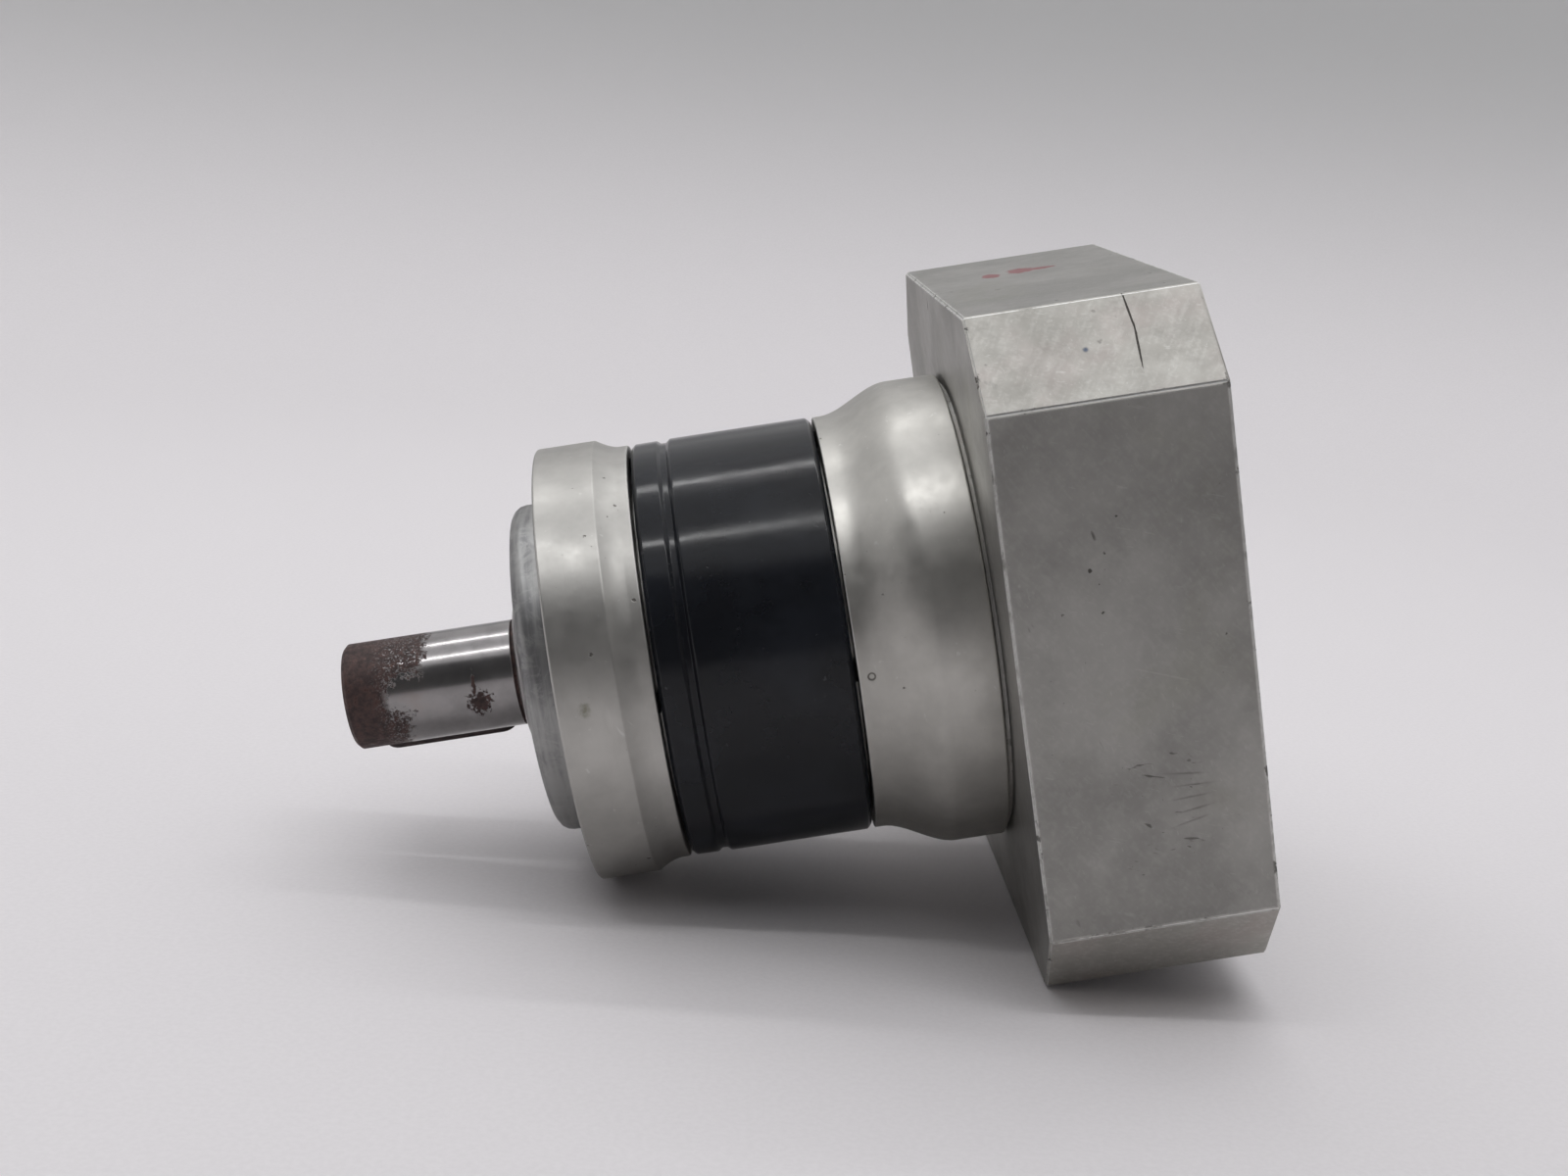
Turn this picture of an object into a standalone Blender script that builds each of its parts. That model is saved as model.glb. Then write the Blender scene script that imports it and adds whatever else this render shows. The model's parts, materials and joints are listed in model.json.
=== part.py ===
"""A 90 mm inline planetary gearbox with a square motor adapter plate, as separate named pieces.

Frame: the gearbox axis is X, -X points out of the output shaft and +X points at the motor. Z is up and
squares with the adapter plate's sides. Lengths along the axis are counted from the output flange's mounting
face, and the finished gearbox then stands with its middle at the origin. Dimensions are in millimetres, and
MM turns them into Blender's metres.
"""

from math import acos, cos, pi, radians, sin, tan

import bmesh
import bpy
from mathutils import Matrix, Vector

MM = 0.001

# ---- driving dimensions, read along the axis from the shaft end to the motor face ----
SHAFT_END_X = -46.0
SHOULDER_X = -10.0
PILOT_X = -7.0
FLANGE_END_X = 18.7
RING_X = (19.4, 56.4)
REAR_X = (57.0, 83.0)
PLATE_X = (84.0, 127.0)

SHAFT_R = 11.0
SHOULDER_R = 15.0
PILOT_R = 34.0
FRAME_R = 45.0
NECK_R = 43.0
BELL_R = 48.1
PLATE_HALF = 65.0
PLATE_CORNER = 15.7

# ---- fits ----
STILL_GAP = 0.15
SEAT_GAP = 0.3
SPIGOT_R = 35.7
SPIGOT_BORE_R = 36.0

# ---- facets round a full turn, larger radii get more ----
BIG = 30
MEDIUM = 24
RACE = 20
SMALL = 12
SCREW = 8

# ---- gear train: sun 12, planets 18, fixed ring 48 teeth, so the ratio is 1 + 48/12 = 5 ----
# Teeth are stubs, 0.8 modules high above the pitch circle, so that a 12-tooth sun isn't undercut.
MODULE = 1.35
PRESSURE_ANGLE = radians(20.0)
SUN_TEETH = 12
PLANET_TEETH = 18
RING_TEETH = 48
PLANETS = 3
FIRST_PLANET_ANGLE = pi / 2
TOOTH_THINNING = 0.16
ADDENDUM = 0.8 * MODULE
DEDENDUM = 1.05 * MODULE
CENTRE_DISTANCE = MODULE * (SUN_TEETH + PLANET_TEETH) / 2
TEETH_X = (38.5, 52.5)
PLANET_X = (40.3, 51.7)

# ---- planet carrier ----
CARRIER_R = 28.0
CARRIER_DISC_X = (34.2, 39.2)
CARRIER_PLATE_X = (52.9, 56.5)
PIN_R = 4.0
PIN_X = (34.8, 56.3)
WASHER_THICKNESS = 0.8

# ---- bearings: (left face x, width, bore radius, outer radius, roller or ball radius, their number) ----
FRONT_BEARING = (2.3, 13.0, 15.0, 27.5, 3.5, 8)
CARRIER_BEARING = (21.0, 12.0, 20.0, 31.0, 3.1, 9)
INPUT_BEARING = (60.0, 9.0, 10.0, 18.5, 2.4, 7)
ROLLING_ROOM = 0.45

# ---- key: 6 x 6 x 28 in a slot 3.5 deep, turned away from the top ----
KEY = {"length": 28.0, "width": 6.0, "height": 6.0, "depth": 3.5, "from_end": 4.0}
KEY_ANGLE = radians(-65.0)

# ---- screws: (thread radius, head radius, head height, hexagon socket radius) ----
M4 = (1.9, 3.5, 4.0, 1.7)
M5 = (2.4, 4.25, 5.0, 2.3)
QUARTERS = [k * pi / 2 for k in range(4)]
DIAGONALS = [pi / 4 + k * pi / 2 for k in range(4)]
FLANGE_HOLES = {"pitch_r": 40.0, "core_r": 2.5, "depth": 14.0}
TIE_SCREW = {"pitch_r": 39.0, "seat_x": 67.0, "tip_x": 8.0, "bore_r": 2.2, "head_bore_r": 4.0}
ADAPTER_SCREW = {"pitch_r": 42.5, "seat_x": 109.0, "tip_x": 69.0, "bore_r": 2.75, "head_bore_r": 5.0}

# ---- motor side of the adapter plate: 110 mm pilot, four M8 threads on a 145 mm circle ----
MOTOR_PILOT_R = 55.0
MOTOR_PILOT_DEPTH = 7.0
MOTOR_HOLES = {"pitch_r": 72.5, "core_r": 3.4, "depth": 25.0}
PLATE_BORE_R = 28.0
SEAT_LAND_R = 46.0

# ---- motor shaft clamp ----
HUB_R = 16.0
HUB_BORE_R = 12.0
HUB_END_X = 110.0
CLAMP_X = (94.5, 108.5)
CLAMP_R = 26.0
CLAMP_OFFSET = 20.5
ACCESS_R = 6.0

# ---- finishes: (colour, roughness, metallic) ----
FINISHES = {
    "machined_aluminium": ((0.60, 0.60, 0.58), 0.40, 1.0),
    "cast_aluminium": ((0.55, 0.55, 0.54), 0.45, 1.0),
    "black_steel": ((0.010, 0.011, 0.013), 0.25, 0.3),
    "ground_steel": ((0.55, 0.55, 0.56), 0.22, 1.0),
    "bearing_steel": ((0.65, 0.66, 0.68), 0.15, 1.0),
    "rusty_steel": ((0.10, 0.055, 0.04), 0.75, 0.3),
    "spring_steel": ((0.20, 0.20, 0.21), 0.40, 1.0),
    "screw_steel": ((0.06, 0.06, 0.065), 0.45, 0.6),
    "brass": ((0.62, 0.45, 0.18), 0.35, 1.0),
    "seal_rubber": ((0.015, 0.015, 0.016), 0.60, 0.0),
    "plug_plastic": ((0.02, 0.02, 0.022), 0.50, 0.0),
}

# A shape drawn in its own XY plane and extruded along Z stands across the gearbox axis after this turn.
ACROSS_AXIS = Matrix(((0, 0, 1, 0), (1, 0, 0, 0), (0, 1, 0, 0), (0, 0, 0, 1)))


# ------------------------------------------------------------------------------------------------
# scene, materials and bodies
# ------------------------------------------------------------------------------------------------
def clear_scene():
    for old in list(bpy.data.objects):
        bpy.data.objects.remove(old, do_unlink=True)


def new_collection(name):
    made = bpy.data.collections.new(name)
    bpy.context.scene.collection.children.link(made)
    return made


def make_material(name):
    colour, roughness, metallic = FINISHES[name]
    material = bpy.data.materials.new(name)
    material.use_nodes = True
    shader = material.node_tree.nodes["Principled BSDF"]
    shader.inputs["Base Color"].default_value = (*colour, 1.0)
    shader.inputs["Roughness"].default_value = roughness
    shader.inputs["Metallic"].default_value = metallic
    material.diffuse_color = (*colour, 1.0)
    return material


clear_scene()
PARTS = new_collection("planetary_gearbox")
CUTTERS = new_collection("cutters")
MATERIALS = {name: make_material(name) for name in FINISHES}


def body(name, parent=None, y=0.0, z=0.0):
    """An empty on a body's turning axis. Its pieces are its children."""
    empty = bpy.data.objects.new("body_" + name, None)
    PARTS.objects.link(empty)
    empty.parent = parent
    empty.location = (0.0, y * MM, z * MM)
    return empty


def polar(radius, angle):
    """(y, z) at this radius, with the angle turning from +Y to +Z."""
    return radius * cos(angle), radius * sin(angle)


# ------------------------------------------------------------------------------------------------
# shapes
# ------------------------------------------------------------------------------------------------
def signed_area(outline):
    following = outline[1:] + outline[:1]
    return sum(a[0] * b[1] - b[0] * a[1] for a, b in zip(outline, following)) / 2


def turned(name, outline, facets, hollow=True):
    """A solid turned about X from an outline of (x, radius). A hollow one is a loop clear of the axis, and
    a solid one starts and ends on the axis."""
    points = list(outline) if signed_area(outline) > 0 else list(reversed(outline))
    count = len(points)
    edges = [(i, i + 1) for i in range(count - 1)] + ([(count - 1, 0)] if hollow else [])
    mesh = bpy.data.meshes.new(name)
    mesh.from_pydata([(x * MM, r * MM, 0.0) for x, r in points], edges, [])
    obj = bpy.data.objects.new(name, mesh)
    PARTS.objects.link(obj)
    screw = obj.modifiers.new("turn", "SCREW")
    screw.axis = "X"
    screw.angle = 2 * pi
    screw.steps = facets
    screw.render_steps = facets
    screw.use_merge_vertices = True
    screw.merge_threshold = 0.00001
    return obj


def ring(name, x, radii, facets):
    """A plain ring between two x and two radii."""
    return turned(name, [(x[0], radii[0]), (x[1], radii[0]), (x[1], radii[1]), (x[0], radii[1])], facets)


def extruded(name, outlines, depth):
    """A flat shape of closed outlines of (u, v), holes included, extruded by depth about its own plane."""
    curve = bpy.data.curves.new(name, "CURVE")
    curve.dimensions = "2D"
    curve.fill_mode = "BOTH"
    curve.extrude = depth * MM / 2
    for outline in outlines:
        spline = curve.splines.new("POLY")
        spline.points.add(len(outline) - 1)
        for point, (u, v) in zip(spline.points, outline):
            point.co = (u * MM, v * MM, 0.0, 1.0)
        spline.use_cyclic_u = True
    flat = bpy.data.objects.new(name + "_curve", curve)
    PARTS.objects.link(flat)
    obj = as_mesh(flat, name)
    bpy.data.objects.remove(flat, do_unlink=True)
    return obj


def as_mesh(source, name):
    """A welded mesh object with the evaluated shape of source, in its place."""
    bpy.context.view_layer.update()
    graph = bpy.context.evaluated_depsgraph_get()
    mesh = bpy.data.meshes.new_from_object(source.evaluated_get(graph))
    cage = bmesh.new()
    cage.from_mesh(mesh)
    bmesh.ops.remove_doubles(cage, verts=cage.verts, dist=0.000001)
    bmesh.ops.recalc_face_normals(cage, faces=cage.faces)
    cage.to_mesh(mesh)
    cage.free()
    obj = bpy.data.objects.new(name, mesh)
    PARTS.objects.link(obj)
    obj.matrix_world = source.matrix_world
    return obj


def rods(name, placements, facets):
    """One mesh of closed cylinders. A placement is (centre, direction, radius, length)."""
    cage = bmesh.new()
    for centre, direction, radius, length in placements:
        turn = Vector((0, 0, 1)).rotation_difference(Vector(direction)).to_matrix().to_4x4()
        bmesh.ops.create_cone(
            cage,
            cap_ends=True,
            segments=facets,
            radius1=radius * MM,
            radius2=radius * MM,
            depth=length * MM,
            matrix=Matrix.Translation(Vector(centre) * MM) @ turn,
        )
    mesh = bpy.data.meshes.new(name)
    cage.to_mesh(mesh)
    cage.free()
    obj = bpy.data.objects.new(name, mesh)
    PARTS.objects.link(obj)
    return obj


def box(name, low, high):
    cage = bmesh.new()
    bmesh.ops.create_cube(cage, size=1.0)
    low, high = Vector(low) * MM, Vector(high) * MM
    sizes = Matrix.Diagonal((*(high - low), 1.0))
    bmesh.ops.transform(cage, matrix=Matrix.Translation((low + high) / 2) @ sizes, verts=cage.verts)
    mesh = bpy.data.meshes.new(name)
    cage.to_mesh(mesh)
    cage.free()
    obj = bpy.data.objects.new(name, mesh)
    PARTS.objects.link(obj)
    return obj


def combine(obj, tool, operation):
    """Cuts tool from obj, or joins it. The tool stays as a hidden helper."""
    modifier = obj.modifiers.new(operation.lower(), "BOOLEAN")
    modifier.operation = operation
    modifier.object = tool
    PARTS.objects.unlink(tool)
    CUTTERS.objects.link(tool)
    tool.hide_render = True
    tool.display_type = "WIRE"


def cut(obj, tool):
    combine(obj, tool, "DIFFERENCE")


def join(obj, tool):
    combine(obj, tool, "UNION")


def axial_holes(pitch_r, angles, radius, x):
    """Placements for rods along X, on a circle about the axis."""
    low, high = x
    places = [polar(pitch_r, angle) for angle in angles]
    return [(((low + high) / 2, y, z), (1, 0, 0), radius, high - low) for y, z in places]


def finish(obj, finish_name, parent):
    """Settles the modifiers into a mesh shaded by angle, with its material, under its body."""
    name = obj.name
    shape = as_mesh(obj, name + "_settled")
    tools = [modifier.object for modifier in obj.modifiers if modifier.type == "BOOLEAN"]
    for spent in [obj, *tools]:
        bpy.data.objects.remove(spent, do_unlink=True)
    shape.name = name
    shape.data.name = name
    shape.data.materials.clear()
    shape.data.materials.append(MATERIALS[finish_name])
    shape.data.shade_smooth()
    shape.data.set_sharp_from_angle(angle=radians(30))
    shape.parent = parent
    shape.matrix_parent_inverse = parent.matrix_world.inverted()
    return shape


def copies(first, names, matrices):
    """The same mesh again under other names, each moved by its matrix."""
    for name, matrix in zip(names, matrices):
        twin = bpy.data.objects.new(name, first.data)
        PARTS.objects.link(twin)
        twin.parent = first.parent
        twin.matrix_world = matrix @ first.matrix_world


def turn_about_axis(angle):
    return Matrix.Rotation(angle, 4, "X")


def offset(radius, angle, x=0.0):
    """A move to this place beside the gearbox axis."""
    y, z = polar(radius, angle)
    return Matrix.Translation((x * MM, y * MM, z * MM))


# ------------------------------------------------------------------------------------------------
# gear teeth
# ------------------------------------------------------------------------------------------------
def involute(angle):
    return tan(angle) - angle


def tooth_outline(teeth, low_r, high_r, thickening, phase, flank_steps):
    """The closed outline of a gear with involute flanks. thickening is added to each tooth on the pitch
    circle, and phase is the angle of the middle of one tooth."""
    pitch_r = MODULE * teeth / 2
    base_r = pitch_r * cos(PRESSURE_ANGLE)
    half_on_pitch = pi / (2 * teeth) + thickening / (2 * pitch_r)

    def half_width(radius):
        flank = acos(min(1.0, base_r / radius))
        return half_on_pitch + involute(PRESSURE_ANGLE) - involute(flank)

    rising = [low_r + (high_r - low_r) * step / flank_steps for step in range(flank_steps + 1)]
    points = []
    for tooth in range(teeth):
        middle = phase + 2 * pi * tooth / teeth
        points += [polar(radius, middle - half_width(radius)) for radius in rising]
        points += [polar(radius, middle + half_width(radius)) for radius in reversed(rising)]
    return points


def circle_outline(radius, facets):
    return [polar(radius, 2 * pi * k / facets) for k in range(facets)]


def gear_radii(teeth):
    """(root radius, tip radius) of an outside gear."""
    pitch_r = MODULE * teeth / 2
    return pitch_r - DEDENDUM, pitch_r + ADDENDUM


# ------------------------------------------------------------------------------------------------
# shared pieces
# ------------------------------------------------------------------------------------------------
def ball_race(middle_x, pitch_r, ball_r, side):
    """The arc of a ball's raceway from low x to high x. Side is 1 outside the pitch circle and -1 inside."""
    race_r = ball_r + ROLLING_ROOM
    swing = radians(55)
    steps = 3
    angles = [-swing + 2 * swing * k / steps for k in range(steps + 1)]
    return [(middle_x + race_r * sin(a), pitch_r + side * race_r * cos(a)) for a in angles]


def roller_race(middle_x, pitch_r, roller_r, half_length, side):
    """The channel of a roller's raceway between two lips, from low x to high x."""
    race_r = pitch_r + side * (roller_r + ROLLING_ROOM)
    lip_r = pitch_r + side * 0.6 * roller_r
    reach = half_length + 0.3
    corners = [(-reach, lip_r), (-reach, race_r), (reach, race_r), (reach, lip_r)]
    return [(middle_x + x, r) for x, r in corners]


def race_ring(name, left, right, seat_r, race, parent):
    """A bearing ring with its seat on one side and this raceway on the other."""
    land_r = race[0][1]
    outline = [(left, seat_r), (left, land_r), *race, (right, land_r), (right, seat_r)]
    finish(turned(name, outline, RACE), "bearing_steel", parent)


def ball_bearing(name, sizes, still, turning, rolling):
    """Outer ring, inner ring, and the balls joined by their cage."""
    left, width, bore_r, outer_r, ball_r, count = sizes
    right, middle = left + width, left + width / 2
    pitch_r = (bore_r + outer_r) / 2
    outer_race = ball_race(middle, pitch_r, ball_r, 1)
    inner_race = ball_race(middle, pitch_r, ball_r, -1)
    race_ring(name + "_outer_ring", left, right, outer_r - SEAT_GAP, outer_race, still)
    race_ring(name + "_inner_ring", left, right, bore_r + SEAT_GAP, inner_race, turning)

    band = 0.7
    cage_x = (middle - 0.8 * ball_r, middle + 0.8 * ball_r)
    cage = ring(name + "_balls", cage_x, (pitch_r - band, pitch_r + band), 2 * count)
    balls = bmesh.new()
    for k in range(count):
        place = offset(pitch_r, 2 * pi * k / count, middle) @ turn_about_axis(2 * pi * k / count)
        bmesh.ops.create_uvsphere(balls, u_segments=6, v_segments=4, radius=ball_r * MM, matrix=place)
    mesh = bpy.data.meshes.new(name + "_ball_set")
    balls.to_mesh(mesh)
    balls.free()
    ball_set = bpy.data.objects.new(name + "_ball_set", mesh)
    PARTS.objects.link(ball_set)
    join(cage, ball_set)
    finish(cage, "bearing_steel", rolling)


def roller_bearing(name, sizes, still, turning, rolling):
    """Outer ring, inner ring, and the cylindrical rollers joined by their cage."""
    left, width, bore_r, outer_r, roller_r, count = sizes
    right, middle = left + width, left + width / 2
    pitch_r = (bore_r + outer_r) / 2
    half_length = width / 2 - 2.0
    outer_race = roller_race(middle, pitch_r, roller_r, half_length, 1)
    inner_race = roller_race(middle, pitch_r, roller_r, half_length, -1)
    race_ring(name + "_outer_ring", left, right, outer_r - SEAT_GAP, outer_race, still)
    race_ring(name + "_inner_ring", left, right, bore_r + SEAT_GAP, inner_race, turning)

    outside, inside = [], []
    for k in range(count):
        middle_angle = 2 * pi * k / count
        centre_y, centre_z = polar(pitch_r, middle_angle)
        for turn in (-75, -25, 25, 75):
            y, z = polar(roller_r, middle_angle + radians(turn))
            outside.append((centre_y + y, centre_z + z))
            y, z = polar(roller_r, middle_angle + pi - radians(turn))
            inside.append((centre_y + y, centre_z + z))
    cage = extruded(name + "_rollers", [outside, inside], 2 * half_length)
    cage.matrix_world = offset(0, 0, middle) @ ACROSS_AXIS
    finish(cage, "bearing_steel", rolling)


def lip_seal(name, left, width, shaft_r, outer_r, parent):
    """A radial shaft seal: an L of sheet and rubber whose lip runs on the shaft."""
    right = left + width
    lip_r = shaft_r + 0.35
    outline = [
        (left, outer_r),
        (left, shaft_r + 1.6),
        (left + 0.3 * width, lip_r),
        (left + 0.6 * width, shaft_r + 1.6),
        (left + 0.6 * width, outer_r - 1.6),
        (right, outer_r - 1.6),
        (right, outer_r),
    ]
    finish(turned(name, outline, MEDIUM), "seal_rubber", parent)


def o_ring(name, x, middle_r, radius, parent):
    sides = 5
    outline = []
    for k in range(sides):
        angle = 2 * pi * k / sides
        outline.append((x + radius * cos(angle), middle_r + radius * sin(angle)))
    finish(turned(name, outline, BIG), "seal_rubber", parent)


def circlip(name, x, radii, facets, gap_angle, parent):
    """A snap ring with its opening at gap_angle."""
    clip = ring(name, x, radii, facets)
    y, z = polar((radii[0] + radii[1]) / 2, gap_angle)
    reach = 1.6 * (radii[1] - radii[0])
    opening = rods(name + "_gap", [(((x[0] + x[1]) / 2, y, z), (1, 0, 0), reach, 4 * (x[1] - x[0]))], 8)
    cut(clip, opening)
    finish(clip, "spring_steel", parent)


def socket_screw(name, size, seat_x, tip_x):
    """A socket head cap screw along X, on the axis, with its head on the +X side of seat_x."""
    thread_r, head_r, head_height, socket_r = size
    top = seat_x + head_height
    outline = [(tip_x, 0), (tip_x, thread_r), (seat_x, thread_r), (seat_x, head_r), (top, head_r), (top, 0)]
    screw = turned(name, outline, SCREW, hollow=False)
    socket_depth = head_height / 2
    cut(screw, rods(name + "_socket", [((top, 0, 0), (1, 0, 0), socket_r, 2 * socket_depth)], 6))
    return screw


def screw_set(name, size, layout, angles, parent):
    """Equal screws on a circle about the axis, numbered from 1."""
    first = socket_screw(name + "_1", size, layout["seat_x"] + STILL_GAP, layout["tip_x"])
    first = finish(first, "screw_steel", parent)
    moves = [offset(layout["pitch_r"], angle) for angle in angles]
    copies(first, [f"{name}_{k}" for k in range(2, len(angles) + 1)], moves[1:])
    first.matrix_world = moves[0] @ first.matrix_world


# ------------------------------------------------------------------------------------------------
# housing
# ------------------------------------------------------------------------------------------------
def output_flange(parent):
    """Front casting: pilot boss, mounting face, both output bearing seats and the spigot in the ring gear."""
    edge = 2.0
    swing = [pi * k / 4 for k in range(3)]
    pilot_edge = [(PILOT_X + edge - edge * cos(a), PILOT_R - edge + edge * sin(a)) for a in swing]
    outline = [
        (PILOT_X, 23.6),
        *pilot_edge,
        (0, PILOT_R),
        (0, FRAME_R),
        (12.0, FRAME_R),
        (16.2, NECK_R),
        (FLANGE_END_X, NECK_R),
        (FLANGE_END_X, SPIGOT_R),
        (22.0, SPIGOT_R),
        (22.0, 34.2),
        (24.4, 34.2),
        (24.4, SPIGOT_R),
        (37.0, SPIGOT_R),
        (37.0, 31.0),
        (35.5, 31.0),
        (35.5, 32.6),
        (33.2, 32.6),
        (33.2, 31.0),
        (18.0, 31.0),
        (18.0, 27.5),
        (2.0, 27.5),
        (2.0, 23.6),
    ]
    flange = turned("output_flange", outline, BIG)
    depth = FLANGE_HOLES["depth"]
    mounting = axial_holes(FLANGE_HOLES["pitch_r"], DIAGONALS, FLANGE_HOLES["core_r"], (-depth, depth))
    cut(flange, rods("flange_threads", mounting, SCREW))
    tie_x = (TIE_SCREW["tip_x"] - 1.0, FLANGE_END_X + 10.0)
    ties = axial_holes(TIE_SCREW["pitch_r"], QUARTERS, TIE_SCREW["bore_r"], tie_x)
    cut(flange, rods("flange_ties", ties, SCREW))
    finish(flange, "machined_aluminium", parent)


def ring_gear(parent):
    """Blackened steel middle section with the fixed internal teeth."""
    left, right = RING_X
    outline = [
        (left, SPIGOT_BORE_R),
        (left, NECK_R - 0.4),
        (left + 0.5, NECK_R),
        (24.6, NECK_R),
        (25.4, NECK_R - 0.6),
        (26.5, NECK_R - 0.6),
        (27.2, NECK_R + 0.1),
        (right - 0.9, NECK_R + 0.1),
        (right, NECK_R - 0.9),
        (right, SPIGOT_BORE_R),
        (TEETH_X[1], SPIGOT_BORE_R),
        (TEETH_X[1], 30.0),
        (TEETH_X[0], 30.0),
        (TEETH_X[0], SPIGOT_BORE_R),
    ]
    casing = turned("ring_gear", outline, BIG)
    pitch_r = MODULE * RING_TEETH / 2
    space = tooth_outline(
        RING_TEETH,
        pitch_r - ADDENDUM,
        pitch_r + DEDENDUM,
        TOOTH_THINNING,
        pi / RING_TEETH,
        1,
    )
    spaces = extruded("ring_gear_spaces", [space], TEETH_X[1] - TEETH_X[0] + 2.0)
    middle = (TEETH_X[0] + TEETH_X[1]) / 2
    spaces.matrix_world = Matrix.Translation((middle * MM, 0, 0)) @ ACROSS_AXIS
    cut(casing, spaces)
    tie_x = (left - 1.0, right + 1.0)
    ties = axial_holes(TIE_SCREW["pitch_r"], QUARTERS, TIE_SCREW["bore_r"], tie_x)
    cut(casing, rods("ring_ties", ties, SCREW))
    finish(casing, "black_steel", parent)


def rear_housing(parent):
    """Bell-shaped casting behind the ring gear, with the input bearing and seal in its hub."""
    left, right = REAR_X
    swell_start, swell_end = left + 1.5, 73.0
    steps = 4
    swell = []
    for k in range(steps + 1):
        t = k / steps
        rise = t * t * (3 - 2 * t)
        swell.append((swell_start + (swell_end - swell_start) * t, NECK_R + (BELL_R - NECK_R) * rise))
    outline = [
        (left, SPIGOT_R),
        (left, NECK_R),
        *swell,
        (right, BELL_R),
        (right, 34.0),
        (68.0, 34.0),
        (68.0, 24.0),
        (79.0, 24.0),
        (79.0, 18.5),
        (70.9, 18.5),
        (70.9, 19.7),
        (69.4, 19.7),
        (69.4, 18.5),
        (59.8, 18.5),
        (59.8, 15.5),
        (57.5, 15.5),
        (57.5, 29.5),
        (52.8, 29.5),
        (52.8, SPIGOT_R),
        (54.0, SPIGOT_R),
        (54.0, 34.3),
        (55.9, 34.3),
        (55.9, SPIGOT_R),
    ]
    bell = turned("rear_housing", outline, BIG)
    tie_r, seat_x = TIE_SCREW["pitch_r"], TIE_SCREW["seat_x"]
    shanks = axial_holes(tie_r, QUARTERS, TIE_SCREW["bore_r"], (left - 1, seat_x + 1))
    heads = axial_holes(tie_r, QUARTERS, TIE_SCREW["head_bore_r"], (seat_x, right + 1))
    cut(bell, rods("rear_ties", shanks, SCREW))
    cut(bell, rods("rear_heads", heads, SCREW))
    thread_x = (ADAPTER_SCREW["tip_x"] - 2.0, right + 1)
    threads = axial_holes(ADAPTER_SCREW["pitch_r"], DIAGONALS, ADAPTER_SCREW["bore_r"], thread_x)
    cut(bell, rods("rear_threads", threads, SCREW))
    finish(bell, "cast_aluminium", parent)


def adapter_plate(parent):
    """Square plate with cut corners for the motor, seated on the rear housing by a land and a spigot."""
    left, right = PLATE_X
    flat = PLATE_HALF - PLATE_CORNER
    square = []
    for quarter in QUARTERS:
        for u, v in ((PLATE_HALF, flat), (flat, PLATE_HALF)):
            square.append((u * cos(quarter) - v * sin(quarter), u * sin(quarter) + v * cos(quarter)))
    plate = extruded("adapter_plate", [square], right - left)
    plate.matrix_world = Matrix.Translation(((left + right) / 2 * MM, 0, 0)) @ ACROSS_AXIS

    land_x, spigot_x, buried_x = REAR_X[1] + STILL_GAP, 79.5, left + 4.0
    seat = [
        (spigot_x, 25),
        (spigot_x, 33.7),
        (land_x, 33.7),
        (land_x, SEAT_LAND_R),
        (buried_x, SEAT_LAND_R),
        (buried_x, 25),
    ]
    join(plate, turned("plate_seat", seat, BIG))

    pilot_x = right - MOTOR_PILOT_DEPTH
    bore = [
        (75, 0),
        (75, 25),
        (left, 25),
        (left, PLATE_BORE_R),
        (pilot_x, PLATE_BORE_R),
        (pilot_x, MOTOR_PILOT_R),
        (right + 5, MOTOR_PILOT_R),
        (right + 5, 0),
    ]
    cut(plate, turned("plate_bore", bore, BIG, hollow=False))

    motor_x = (right - MOTOR_HOLES["depth"], right + 1)
    motor_threads = axial_holes(MOTOR_HOLES["pitch_r"], DIAGONALS, MOTOR_HOLES["core_r"], motor_x)
    cut(plate, rods("motor_threads", motor_threads, SCREW))
    screw_r, seat_x = ADAPTER_SCREW["pitch_r"], ADAPTER_SCREW["seat_x"]
    shanks = axial_holes(screw_r, DIAGONALS, ADAPTER_SCREW["bore_r"], (left - 5, seat_x + 1))
    heads = axial_holes(screw_r, DIAGONALS, ADAPTER_SCREW["head_bore_r"], (seat_x, right))
    cut(plate, rods("plate_screws", shanks, SCREW))
    cut(plate, rods("plate_heads", heads, SCREW))

    access_x = (CLAMP_X[0] + CLAMP_X[1]) / 2
    reach = PLATE_HALF + 2.0 - 10.0
    access = [((access_x, 10.0 + reach / 2, CLAMP_OFFSET), (0, 1, 0), ACCESS_R, reach)]
    cut(plate, rods("access_hole", access, SCREW))
    finish(plate, "machined_aluminium", parent)


def access_plug(parent):
    """Plug with a hexagon socket that closes the hole to the clamp screw."""
    length, sunk = 7.0, 0.4
    x = (CLAMP_X[0] + CLAMP_X[1]) / 2
    outer_y = PLATE_HALF - sunk
    whole = ((x, outer_y - length / 2, CLAMP_OFFSET), (0, 1, 0), ACCESS_R - STILL_GAP, length)
    socket = ((x, outer_y, CLAMP_OFFSET), (0, 1, 0), 3.0, length)
    plug = rods("access_plug", [whole], SCREW)
    cut(plug, rods("plug_socket", [socket], 6))
    finish(plug, "plug_plastic", parent)


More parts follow.
